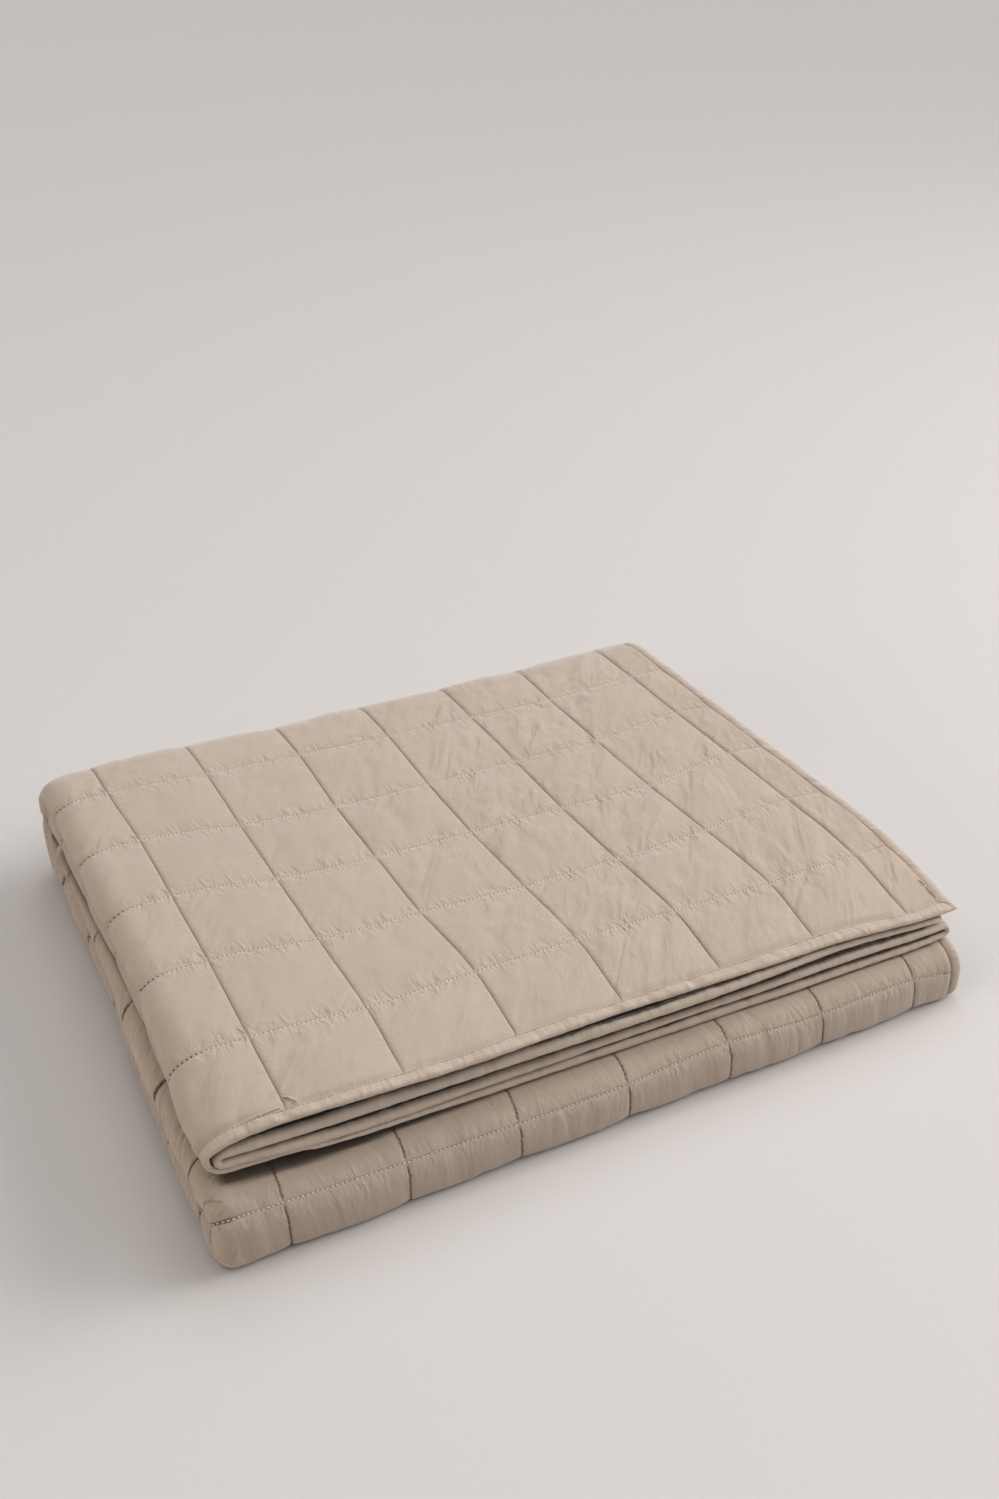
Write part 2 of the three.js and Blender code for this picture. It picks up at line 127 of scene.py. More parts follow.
def half_round(a, b):
    return (math.pi / 2) * (3 * (a + b) - math.sqrt((3 * a + b) * (a + 3 * b)))


_walk = [BACK_TURN_Y - TOP_FRONT_Y, half_round(BACK_BULGE, 43), BACK_TURN_Y - FRONT_TURN_Y, half_round(FRONT_BULGE, 23), MIDDLE_END_Y - FRONT_TURN_Y]
MARKS = np.concatenate([[0], np.cumsum(_walk)]) * (FLAT_LENGTH / sum(_walk))


def top_at(x, y):
    c = CORNER_DROP
    drop = c["drop"] * smooth(1 - np.hypot(x - c["x"], y - c["y"]) / c["reach"])
    return read(STACK, "x", "top", x) + read(CROWN, "y", "lift", y) - drop


def turn(y, high, low, bulge, t, sag=2.0):
    a = np.pi * np.clip(t, 0, 1)
    mid, half = (high + low) / 2, (high - low) / 2
    p = np.where(a > np.pi / 2, 2 / sag, 1.0)
    cs = np.cos(a)
    return y + bulge * np.maximum(0, np.sin(a)) ** p, mid + half * np.sign(cs) * np.abs(cs) ** p


def strip(x, v, y_top=None):
    """Outside (layer 1) and inside (layer 4) of the strip, in the YZ plane."""
    x, v = np.broadcast_arrays(np.asarray(x, float), np.asarray(v, float))
    low, mid = read(STACK, "x", "lower", x), read(STACK, "x", "middle", x)
    edge, back = TOP_FRONT_Y + read(RUN_ENDS, "x", "edge", x), BACK_TURN_Y + read(RUN_ENDS, "x", "back", x)
    t = [(v - MARKS[i]) / (MARKS[i + 1] - MARKS[i]) for i in range(5)]
    y0 = lerp(edge, back, t[0]) if y_top is None else y_top
    y2, y4 = lerp(back, FRONT_TURN_Y, t[2]), lerp(FRONT_TURN_Y, MIDDLE_END_Y, t[4])
    b_out = turn(back, top_at(x, back), 0, BACK_BULGE, t[1])
    b_in = turn(back, mid + PACK_GAP, low - PACK_GAP, INNER_BACK_BULGE, t[1])
    f_out = turn(FRONT_TURN_Y, mid - PACK_GAP, 0, -FRONT_BULGE, 1 - t[3], FRONT_SAG)
    f_in = turn(FRONT_TURN_Y, low + PACK_GAP, low - PACK_GAP, -INNER_FRONT_BULGE, 1 - t[3])
    run = [v < MARKS[1], v < MARKS[2], v < MARKS[3], v < MARKS[4]]
    oy = np.select(run, [y0, b_out[0], y2, f_out[0]], y4)
    oz = np.select(run, [top_at(x, y0), b_out[1], np.zeros_like(x), f_out[1]], mid - PACK_GAP)
    iy = np.select(run, [y0, b_in[0], y2, f_in[0]], y4)
    iz = np.select(run, [mid + PACK_GAP, b_in[1], low - PACK_GAP, f_in[1]], low + PACK_GAP)
    return oy, oz, iy, iz


def depth_at(x, v):
    oy, oz, iy, iz = strip(x, v)
    return np.hypot(iy - oy, iz - oz)


def dense_section(v):
    """The section's centre line at each v: x, depth, both of shape (len(v), points)."""
    v = v[:, None]
    at = {n: read(STATIONS, "v", n, v) for n in ("side1", "side2", "half", "outer", "inner")}
    fan = 1 - smooth(v / FAN_DEPTH)

    def level(layer, x):
        room = depth_at(x, v) - CLOTH
        share = {1: 0 * x, 2: lerp(1 / 3, read(FAN, "x", "second", x), fan), 3: lerp(2 / 3, read(FAN, "x", "third", x), fan), 4: 0 * x + 1}[layer]
        raised = (1 - smooth(v / 130)) * read(LIFT, "x", "lift", x) * {1: 0, 2: 0, 3: .35, 4: 1}[layer]
        return CLOTH / 2 + room * share - raised

    low = smooth((v - MARKS[1]) / (MARKS[2] - MARKS[1]))
    loop = {n: lerp(TOP_LOOP[n], LOW_LOOP[n], low) for n in TOP_LOOP}
    loop["reachOut"] = lerp(read(EDGE_SHAPE, "v", "reach", v), LOW_LOOP["reachOut"], low)
    out_tip, in_tip, half_tip = at["outer"] + CLOTH / 2, at["inner"] + CLOTH / 2, at["half"] - CLOTH / 2
    start_out, start_in = out_tip + loop["reachOut"], out_tip + loop["reachIn"]
    half_start = half_tip - (level(4, half_tip) - level(3, half_tip)) / 2
    in_start = in_tip + (level(3, in_tip) - level(2, in_tip)) / 2

    def arc(tip, sa, sb, a, b, widest, t):
        lv = lerp(a, b, widest)
        g = np.pi * (t - 0.5)
        return (np.where(t < .5, lerp(sa, tip, np.cos(g)), lerp(sb, tip, np.cos(g))),
                np.where(t < .5, lerp(lv, a, -np.sin(g)), lerp(lv, b, np.sin(g))))

    flat, bend, small = np.linspace(0, 1, 61)[None, 1:], np.linspace(0, 1, 91)[None, 1:], np.linspace(0, 1, 41)[None, 1:]
    xs, ns = [at["side1"]], [level(1, at["side1"])]

    def add(x, n):
        xs.append(x), ns.append(n)

    x = lerp(at["side1"], start_out, flat); add(x, level(1, x))
    round_x, round_n = arc(out_tip, start_out, start_in, level(1, start_out), level(4, start_in), loop["widest"], bend)
    # the edged shape: over a shoulder to an edge, then a face that leans in and turns under
    deep = level(4, start_in) - level(1, start_out)
    much, edge_start, edge_down = (read(EDGE_SHAPE, "v", n, v) for n in ("much", "start", "down"))
    shape_t = np.array([0, .20, .32, .42, .47, .52, .60, .68, .76, .83, .89, .95, 1.0])
    shape_x = [loop["reachOut"] + 0 * v, edge_start + 2, edge_start * .55, edge_start * .16, 0 * v, 2.0 + 0 * v, 5.6 + 0 * v, 6.4 + 0 * v, 4.6 + 0 * v, 2.4 + 0 * v, 2.6 + 0 * v, 7.0 + 0 * v, loop["reachIn"] + 0 * v]
    shape_n = [0 * v, 0 * v, edge_down * .26, edge_down * .72, edge_down, edge_down + 2.5, edge_down + 8, lerp(edge_down + 8, deep, .30), lerp(edge_down + 8, deep, .52),
               lerp(edge_down + 8, deep, .72), lerp(edge_down + 8, deep, .88), deep - .8, deep]
    t = bend[0]
    edged_x, edged_n = (np.array([np.interp(t, shape_t, row) for row in np.concatenate([np.broadcast_to(q, v.shape) for q in cols], 1)]) for cols in (shape_x, shape_n))
    for _ in range(3):
        for q in (edged_x, edged_n):
            q[:, 1:-1] = .25 * q[:, :-2] + .5 * q[:, 1:-1] + .25 * q[:, 2:]
    add(lerp(round_x, out_tip + edged_x, much), lerp(round_n, level(1, start_out) + edged_n, much))
    x = lerp(start_in, half_start, flat); add(x, level(4, x))
    add(*arc(half_tip, half_start, half_start, level(4, half_start), level(3, half_start), .5, small))
    x = lerp(half_start, in_start, flat); add(x, level(3, x))
    add(*arc(in_tip, in_start, in_start, level(3, in_start), level(2, in_start), .5, small))
    x = lerp(in_start, at["side2"], flat); add(x, level(2, x))
    return np.concatenate(xs, 1), np.concatenate(ns, 1)


V_STEP = 2.0
V_GRID = np.arange(0, FLAT_LENGTH + V_STEP, V_STEP)
U_FROM, U_TO = -6.0, 706.0            # layer 1 and the outer loop, by U
U_GRID = np.arange(U_FROM, U_TO + 1)
F_GRID = np.linspace(0, 1, 1200)      # the rest of the section, by share


def edge_u(v):
    start, pitch = read(DRIFT, "v", "start", v), read(DRIFT, "v", "pitch", v)
    return 565 - (read(STATIONS, "v", "side1", v) - start) / pitch


def make_tables():
    x, n = dense_section(V_GRID)
    s = np.concatenate([np.zeros((len(x), 1)), np.cumsum(np.hypot(np.diff(x, axis=1), np.diff(n, axis=1)), 1)], 1)
    pitch = read(DRIFT, "v", "pitch", V_GRID)[:, None]
    u = edge_u(V_GRID)[:, None] + s / pitch
    one, two, rest = np.zeros((4, len(V_GRID), len(U_GRID))), np.zeros((4, len(V_GRID), len(F_GRID))), np.zeros(len(V_GRID))

    def fill(tab, i, where, grid):
        tab[0, i], tab[1, i] = np.interp(grid, where, x[i]), np.interp(grid, where, n[i])
        for _ in range(2):  # evens out the facets of the dense line
            for k in (0, 1):
                tab[k, i, 1:-1] = .25 * tab[k, i, :-2] + .5 * tab[k, i, 1:-1] + .25 * tab[k, i, 2:]
        dx, dn = np.gradient(tab[0, i]), np.gradient(tab[1, i])
        d = np.hypot(dx, dn) + 1e-12
        tab[2, i], tab[3, i] = -dn / d, dx / d

    start = read(DRIFT, "v", "start", V_GRID)
    for i in range(len(V_GRID)):
        fill(one, i, u[i], U_GRID)
        flat = U_GRID < 470
        one[0, i, flat] = start[i] + pitch[i] * (565 - U_GRID[flat])
        one[1, i, flat], one[2, i, flat], one[3, i, flat] = CLOTH / 2, 0, -1
        fill(two, i, (u[i] - U_TO) / (u[i, -1] - U_TO), F_GRID)
        rest[i] = u[i, -1] - U_TO
    return one, two, rest


ONE, TWO, REST = make_tables()
REST_MID = float(np.median(REST))


def sample(tab, v, col):
    gi, gj = np.clip(v / V_STEP, 0, tab.shape[1] - 1.001), np.clip(col, 0, tab.shape[2] - 1.001)
    i, j = gi.astype(int), gj.astype(int)
    a, b = gi - i, gj - j
    got = [(t[i, j] * (1 - a) + t[i + 1, j] * a) * (1 - b) + (t[i, j + 1] * (1 - a) + t[i + 1, j + 1] * a) * b for t in tab]
    d = np.hypot(got[2], got[3]) + 1e-12
    return got[0], got[1], got[2] / d, got[3] / d


def row_v(x):
    """Path length of the quilting row on the lower front fold."""
    high = read(STACK, "x", "middle", x) - PACK_GAP
    c = np.clip((read(FRONT_ROW_Z, "x", "z", x) - high / 2) / (high / 2), -1, 1)
    a = np.arccos(np.sign(c) * np.abs(c) ** np.where(c < 0, FRONT_SAG / 2, 1.0))
    return MARKS[4] - (MARKS[4] - MARKS[3]) * a / np.pi


def first_v(x):
    return TOP_FRONT_Y + read(RUN_ENDS, "x", "edge", x) + FIRST_ROW


def path(x, V):
    """Path length along the strip of a point of the cloth."""
    edge, back = first_v(x), BACK_TURN_Y + read(RUN_ENDS, "x", "back", x) + FIRST_ROW
    row = row_v(x)
    return np.select([V < back, V < FRONT_ROW], [MARKS[1] * (V - edge) / (back - edge), MARKS[1] + (V - back) / (FRONT_ROW - back) * (row - MARKS[1])],
                     row + V - FRONT_ROW)


def last_v(x):
    return FLAT_LENGTH - row_v(x) + FRONT_ROW


def spot(x, n, v, V, back=0.0):
    oy, oz, iy, iz = strip(x, v, V - FIRST_ROW)
    f = n / np.maximum(1e-6, np.hypot(iy - oy, iz - oz))
    return np.stack([x, lerp(oy, iy, f) + back, lerp(oz, iz, f)], -1)


def knots(keys, values):
    """Weights that read a table smoothly at its rows' keys, one column for each row."""
    keys = np.array(keys, float)
    return np.stack([read(dict(k=keys, c=row), "k", "c", values) for row in np.eye(len(keys))], 1)


# How far the quilting lines stray from an even grid, by column (down) and row (across): in U, in V.
STRAY_U_KEYS = (-6, 12, 49, 135, 221, 307, 393, 479, 565, 602, 640, 706)
STRAY_V_KEYS = (0, 11, 76, 162, 248, 334, 420, 510, 640, 1000, 1040, 1080, 1108, 1138, 1180, 1215, 1270, 1366, 1452, 1540, 1614)
STRAY_U = np.array([
    # V 0    11    76    162   248   334   420   510   640   1000  1040  1080  1108  1138  1180  1215  1270  1366  1452  1540  1614
    (0.0, 0.0, 0.0, 0.0, 0.0, 0.0, 0.0, 0.0, 0.0, 0.0, 0.0, 0.0, 0.0, 0.0, 0.0, 0.0, 0.0, 0.0, 0.0, 0.0, 0.0),
    (0.0, 0.0, 0.0, 0.0, 0.0, 0.0, 0.0, 0.0, 0.0, 0.0, 0.0, 0.0, 0.0, 0.0, 0.0, 0.0, 0.0, 0.0, 0.0, 0.0, 0.0),
    (2.6, 2.6, -2.8, -4.6, -4.3, -2.2, -1.6, -1.0, -1.0, -1.0, -3.0, -4.0, -0.4, 0.4, 0.0, 0.0, 0.0, 0.0, 0.0, 0.0, 0.0),
    (2.8, 2.8, -4.4, -1.0, 2.3, 4.0, 4.5, 2.0, 0.0, 0.0, -1.0, -1.0, 2.0, 2.2, 0.0, 0.0, 0.0, 0.0, 0.0, 0.0, 0.0),
    (2.2, 2.2, -2.6, 0.1, 2.3, 1.8, 0.6, 0.4, 0.0, 0.0, -1.0, -2.4, -0.6, -0.6, 0.0, 0.0, 0.0, 0.0, 0.0, 0.0, 0.0),
    (0.7, 0.7, -3.2, -0.4, 2.1, 2.8, -0.9, -0.4, 0.0, 0.0, -1.0, -1.4, -0.3, -1.2, 0.0, 0.0, 0.0, 0.0, 0.0, 0.0, 0.0),
    (1.2, 1.2, -2.1, 3.2, 3.3, 3.4, -0.5, 0.0, 0.0, 0.0, 0.6, 0.3, 1.6, -1.4, 0.0, 0.0, 0.0, 0.0, 0.0, 0.0, 0.0),
    (3.2, 3.2, 0.9, 1.9, 1.7, 1.2, -0.4, 0.0, 0.0, 0.0, 0.0, 0.0, 0.3, -1.2, 0.0, 0.0, 0.0, 0.0, 0.0, 0.0, 0.0),
    (1.0, 1.0, 0.6, -2.1, -2.6, -3.2, -0.4, 0.0, 0.0, 0.0, 0.6, -0.4, 1.4, 0.0, 0.0, 0.0, 0.0, 0.0, 0.0, 0.0, 0.0),
    (0.5, 0.5, 0.3, -1.0, -1.3, -1.6, -0.2, 0.0, 0.0, 0.0, 0.3, 0.0, 0.7, 0.0, 0.0, 0.0, 0.0, 0.0, 0.0, 0.0, 0.0),
    (0.0, 0.0, 0.0, 0.0, 0.0, 0.0, 0.0, 0.0, 0.0, 0.0, 0.0, 0.0, 0.0, 0.0, 0.0, 0.0, 0.0, 0.0, 0.0, 0.0, 0.0),
    (0.0, 0.0, 0.0, 0.0, 0.0, 0.0, 0.0, 0.0, 0.0, 0.0, 0.0, 0.0, 0.0, 0.0, 0.0, 0.0, 0.0, 0.0, 0.0, 0.0, 0.0)])
STRAY_V = np.array([
    (0.0, 0.0, 0.0, 2.0, 3.0, 2.0, 0.0, 0.0, 0.0, 0.0, 0.0, 0.0, 0.0, 0.0, 0.0, 0.0, 0.0, 0.0, 0.0, 0.0, 0.0),
    (0.0, 0.0, 0.0, 3.0, 4.0, 3.0, 0.0, 0.0, 0.0, 0.0, 0.0, 0.0, 0.4, 0.0, 0.0, 0.0, 0.0, 0.0, 0.0, 0.0, 0.0),
    (0.0, 0.0, 0.0, 7.4, 9.6, 6.8, 0.0, 0.0, 0.0, 0.0, 0.0, 0.0, 2.2, 0.0, 0.0, 0.0, 0.0, 0.0, 0.0, 0.0, 0.0),
    (0.0, 0.0, -0.4, 0.5, -3.0, -2.4, -2.0, 0.0, 0.0, 0.0, 0.0, 0.0, 0.8, 0.0, 0.0, 0.0, 0.0, 0.0, 0.0, 0.0, 0.0),
    (0.0, 0.0, 2.5, -2.3, -0.6, -1.7, 1.2, 0.0, 0.0, 0.0, 0.0, 0.0, 2.4, 0.0, 0.0, 0.0, 0.0, 0.0, 0.0, 0.0, 0.0),
    (0.0, 0.0, 4.1, -2.9, -0.5, -4.4, 1.8, 0.0, 0.0, 0.0, 0.0, 0.0, 0.2, 0.0, 0.0, 0.0, 0.0, 0.0, 0.0, 0.0, 0.0),
    (0.0, 0.0, 1.3, -1.7, -2.3, -5.2, 2.3, 0.0, 0.0, 0.0, 0.0, 0.0, 0.8, 0.0, 0.0, 0.0, 0.0, 0.0, 0.0, 0.0, 0.0),
    (0.0, 0.0, -5.0, -3.2, -2.1, -2.0, 0.6, 0.0, 0.0, 0.0, 0.0, 0.0, 0.8, 0.0, 0.0, 0.0, 0.0, 0.0, 0.0, 0.0, 0.0),
    (0.0, 0.0, -2.8, 5.2, 7.8, 7.2, 1.7, 0.0, 0.0, 0.0, 0.0, 0.0, 0.0, 0.0, 0.0, 0.0, 0.0, 0.0, 0.0, 0.0, 0.0),
    (0.0, 0.0, -1.9, 4.1, 5.9, 5.6, 1.3, 4.0, 17.0, 17.0, 9.0, 2.0, 1.0, 0.0, -22.0, -36.0, -34.0, -25.0, -10.0, 0.0, 0.0),
    (0.0, 0.0, -1.0, 3.0, 4.0, 4.0, 1.0, 4.0, 19.0, 19.0, 10.0, 3.0, 1.5, 0.0, -24.0, -38.0, -36.0, -27.0, -11.0, 0.0, 0.0),
    (0.0, 0.0, 0.0, 0.0, 0.0, 0.0, 0.0, 0.0, 0.0, 0.0, 0.0, 0.0, 0.0, 0.0, 0.0, 0.0, 0.0, 0.0, 0.0, 0.0, 0.0)])
_ku, _kv = knots(STRAY_U_KEYS, np.arange(-6, 707, 3.0)), knots(STRAY_V_KEYS, np.arange(0, 1615, 3.0))
STRAY = np.stack([_ku @ STRAY_U @ _kv.T, _ku @ STRAY_V @ _kv.T])


def stray(U, V):
    gi, gj = np.clip((U + 6) / 3, 0, STRAY.shape[1] - 1.001), np.clip(V / 3, 0, STRAY.shape[2] - 1.001)
    i, j = gi.astype(int), gj.astype(int)
    a, b = gi - i, gj - j
    return [(s[i, j] * (1 - a) + s[i + 1, j] * a) * (1 - b) + (s[i, j + 1] * (1 - a) + s[i + 1, j + 1] * a) * b for s in STRAY]


def surface(U, V, h):
    """A point of layer 1 or the outer loop, h off its middle, outwards."""
    U, V, h = np.broadcast_arrays(*[np.asarray(q, float) for q in (U, V, h)])
    du, dv = stray(U, V)
    U, V = U + du, V + dv
    v = path(np.clip(565 - U, -62, 566), V)
    x, n, nx, nn = sample(ONE, v, U - U_FROM)
    return spot(x + nx * h, n + nn * h, v, V)


def x_of_share(f):
    return np.interp(f, F_GRID, TWO[0, 130])


STEP_F = np.linspace(0, 1, 400)


def make_steps():
    """How far each point round the inner layers stands back at the front end."""
    x = x_of_share(STEP_F)
    half, loop = int(np.argmax(x)), 80 + int(np.argmin(x[80:]))
    k = np.arange(len(x))
    s = np.where(k < half, read(STEP_BACK, "x", "fourth", x), np.where(k < loop, read(STEP_BACK, "x", "third", x), read(STEP_BACK, "x", "second", x)))
    for _ in range(60):
        s[1:-1] = .25 * s[:-2] + .5 * s[1:-1] + .25 * s[2:]
    return s


STEPS = make_steps()


def surface_rest(f, V, h):
    """A point of layers 4, 3 and 2 and their folds."""
    f, V, h = np.broadcast_arrays(*[np.asarray(q, float) for q in (f, V, h)])
    v = path(x_of_share(f), V)
    x, n, nx, nn = sample(TWO, v, f * (len(F_GRID) - 1))
    return spot(x + nx * h, n + nn * h, v, V, np.interp(f, STEP_F, STEPS) * (1 - smooth((v - 15) / 110)))


# ------------------------------------------------------------------ the quilting's relief
rng = np.random.default_rng(20417)


def nearest(a, first):
    """Signed distance to the nearest quilting line, and its number."""
    k = np.round((a - first) / CELL)
    return a - first - k * CELL, k


def raster_noise(shape, scale, seed):
    """Smooth noise of about unit size on a raster, with features of about `scale` samples."""
    r = np.random.default_rng(seed)
    ny, nx = int(shape[0] / scale) + 4, int(shape[1] / scale) + 4
    g = r.standard_normal((ny, nx))
    y, x = np.arange(shape[0]) / scale + 1, np.arange(shape[1]) / scale + 1
    i, j = y.astype(int), x.astype(int)

    def kernel(t):
        return [(1 - t) ** 3 / 6, (3 * t ** 3 - 6 * t ** 2 + 4) / 6, (-3 * t ** 3 + 3 * t ** 2 + 3 * t + 1) / 6, t ** 3 / 6]

    rows = sum(w[:, None] * g[i + k - 1] for k, w in enumerate(kernel(y - i)))
    out = sum(w[None, :] * rows[:, j + k - 1] for k, w in enumerate(kernel(x - j)))
    return out / 0.5


W_U0, W_V0 = -10, -10
W_SHAPE = (int(U_TO) + 25, 1640)  # U by V, one sample a millimetre


def fold_line(raster, u, v, along, width, amp, rise=4.0, both=False):
    """Adds a soft fold that starts at (u, v) and runs along the vector `along`."""
    length = math.hypot(*along)
    c, s = along[0] / length, along[1] / length
    pad = 3 * width + 2
    ends = [(u, v), (u + along[0], v + along[1])]
    lo = [int(max(0, min(e[k] for e in ends) - pad - (W_U0, W_V0)[k])) for k in (0, 1)]
    hi = [int(min(W_SHAPE[k], max(e[k] for e in ends) + pad - (W_U0, W_V0)[k] + 1)) for k in (0, 1)]
    if lo[0] >= hi[0] or lo[1] >= hi[1]:
        return
    a, b = np.mgrid[lo[0]:hi[0], lo[1]:hi[1]].astype(float)
    a += W_U0 - u
    b += W_V0 - v
    t, d = a * c + b * s, -a * s + b * c
    if both:
        shape = np.clip(1 - (2 * t / length - 1) ** 2, 0, 1) ** 1.2
    else:
        shape = smooth(t / rise) * np.clip(1 - t / length, 0, 1) ** 1.3
    raster[lo[0]:hi[0], lo[1]:hi[1]] += amp * shape * np.exp(-(d / width) ** 2)


def make_relief():
    w = np.zeros(W_SHAPE)
    lean = math.radians(26)
    for m in range(-1, 18):
        for k in range(-1, 9):
            u0, v0 = FIRST_COLUMN + k * CELL, FIRST_ROW + m * CELL
            lower = 940 < v0 + CELL / 2 < 1250
            strong = 1.5 if lower else 1.0
            # puckers on both sides of the row at v0
            at = rng.uniform(3, 9)
            while at < CELL - 3:
                for side in (1, -1):
                    if rng.random() < 0.82:
                        tilt = rng.normal(0.22 if not lower else -0.1, 0.22)
                        length = rng.uniform(9, 34) * (1.15 if lower else 1)
                        amp = rng.uniform(.16, .62) * rng.choice((-1, -1, 1)) * strong
                        fold_line(w, u0 + at + rng.normal(0, 1), v0 + side * 1.0, (-side * length * math.sin(tilt), side * length * math.cos(tilt)),
                                  rng.uniform(1.7, 3.4), amp, 3.5)
                at += rng.uniform(6, 13)
            # shorter ones along the column at u0
            at = rng.uniform(3, 8)
            while at < CELL - 3:
                for side in (1, -1):
                    if rng.random() < 0.6:
                        tilt, length = rng.normal(0.15, 0.3), rng.uniform(6, 16)
                        fold_line(w, u0 + side * 0.8, v0 + at + rng.normal(0, 1), (side * length * math.cos(tilt), side * length * math.sin(tilt)),
                                  rng.uniform(1.6, 2.8), rng.uniform(.1, .34) * rng.choice((-1, 1)) * strong, 3)
                at += rng.uniform(7, 13)
            # soft folds across the square
            for _ in range(rng.integers(3, 6)):
                tilt = rng.normal(lean if not lower else -0.15, 0.24)
                length = rng.uniform(26, 62)
                cu, cv = u0 + rng.uniform(12, CELL - 12), v0 + rng.uniform(14, CELL - 14)
                du, dv = -length * math.sin(tilt), length * math.cos(tilt)
                fold_line(w, cu - du / 2, cv - dv / 2, (du, dv), rng.uniform(3.6, 8.0), rng.uniform(.35, 1.0) * rng.choice((-1, -1, 1)) * (1.2 if lower else (1.3 if k < 4 else .75)), both=True)
            # little tucks where two lines cross
            for q in range(4):
                ang = math.pi / 4 + q * math.pi / 2 + rng.normal(0, .35)
                length = rng.uniform(7, 15)
                fold_line(w, u0 + 1.2 * math.cos(ang), v0 + 1.2 * math.sin(ang), (length * math.cos(ang), length * math.sin(ang)),
                          rng.uniform(1.5, 2.4), rng.uniform(-.55, .3), 2.5)
    w += 0.34 * raster_noise(W_SHAPE, 46, 5) + 0.13 * raster_noise(W_SHAPE, 17, 6) + 0.05 * raster_noise(W_SHAPE, 6, 8)
    for c in CREASES:
        fold_line(w, c[0], c[1], (c[2], c[3]), c[4], c[5], c[6] if len(c) > 6 else 4.0, both=len(c) > 7)
    return w


# Creases: from U, V, along dU, dV, width, height (+ ridge, - trough), rise.
CREASES = [
    (566.0, 8.5, -9.5, -1.0, 1.2, -2.0, 2.0),      # hook-shaped pleat where a column meets the front binding
    (567.5, 11.5, -11.0, 0.5, 1.6, 1.5, 2.0),
    (601.0, 12.5, -26.0, -1.5, 1.1, -1.1, 3.0),    # second line left of it
    (640.0, 14.0, 4.0, 30.0, 3.0, 1.2, 4.0),       # the loop's gathers beside the front binding
    (628.0, 13.0, 6.0, 26.0, 3.4, -1.1, 4.0),
    (655.0, 13.0, 3.0, 34.0, 3.2, -1.3, 4.0),
    (618.0, 14.0, 8.0, 42.0, 5.0, 0.8, 6.0),
    (18.4, 29.0, -0.4, -8.0, 0.9, -1.0, 2.0),      # open slits beside the right binding
    (18.6, 19.5, 0.2, -11.0, 0.9, -1.0, 2.0),
    (610.0, 1096.0, -22.0, -9.0, 3.2, -2.8, 4.0),  # pinched crescent at the lower left
    (612.0, 1088.0, -26.0, -7.0, 3.8, 1.6, 4.0),
    (600.0, 1118.0, -4.0, 26.0, 5.0, 2.2, 5.0),
    (588.0, 1114.0, -3.0, 30.0, 4.6, -2.2, 5.0),
    (596.0, 1100.0, 2.0, -30.0, 4.4, -1.8, 4.0),
    (606.0, 1100.0, 1.0, -34.0, 4.0, 1.5, 4.0),
]
RELIEF = make_relief()


def relief(U, V):
    gi, gj = np.clip(U - W_U0, 0, W_SHAPE[0] - 1.001), np.clip(V - W_V0, 0, W_SHAPE[1] - 1.001)
    i, j = gi.astype(int), gj.astype(int)
    a, b = gi - i, gj - j
    return (RELIEF[i, j] * (1 - b) + RELIEF[i, j + 1] * b) * (1 - a) + (RELIEF[i + 1, j] * (1 - b) + RELIEF[i + 1, j + 1] * b) * a


PLUMP = np.random.default_rng(91).uniform(-1, 1, (60, 60))


def quilted(U, V, deep_column=1.0, deep_row=1.0, loft=2.0):
    """Height of the quilting over the cloth's middle, without its wrinkles."""
    du, k = nearest(U, FIRST_COLUMN)
    dv, m = nearest(V, FIRST_ROW)
    p, q = np.mod(U - FIRST_COLUMN, CELL) / CELL, np.mod(V - FIRST_ROW, CELL) / CELL
    i, j = (np.floor((U - FIRST_COLUMN) / CELL).astype(int) + 20) % 60, (np.floor((V - FIRST_ROW) / CELL).astype(int) + 20) % 60
    # a column is a pressed seam: a narrow groove, a firm ridge on its right, a soft rise on its left
    open_at = 1 - .8 * np.exp(-(dv / 4.2) ** 2)
    groove = deep_column * (.8 * np.exp(-np.abs(du) / .5) * open_at + .34 * np.exp(-np.abs(du) / np.where(du > 0, 6.5, 2.2)))
    ridge = deep_column * .26 * np.exp(-((du + 3.6) / 2.4) ** 2) * (1 - .5 * np.exp(-(dv / 7) ** 2))
    row = deep_row * (0.5 * np.exp(-np.abs(dv) / .6) + 0.36 * np.exp(-np.abs(dv) / 4.0))
    swell = (4 * p * (1 - p)) ** .8 * (4 * q * (1 - q)) ** .7
    return 2.25 + ridge - np.maximum(groove, row) - 0.3 * np.minimum(groove, row) + loft * swell * (1 + .28 * PLUMP[i, j])


def lofts(v):
    """Along the strip: positive where the outside may swell (1, or .8 round the back turn), -1 where it lies pressed.
    """
    free = np.select([v < MARKS[1] - 10, v < MARKS[2], v < MARKS[3] - 25, v < MARKS[4] - 6], [1.0, .8, -1.0, 1.0], -1.0)
    return free


# ------------------------------------------------------------------ meshes
ROOT = "root"


def to_row(points):
    points = np.array(points, float)
    points[:, 2] = np.maximum(points[:, 2], 0.0)
    return (points - [SHIFT_X, SHIFT_Y, 0]) * 0.001


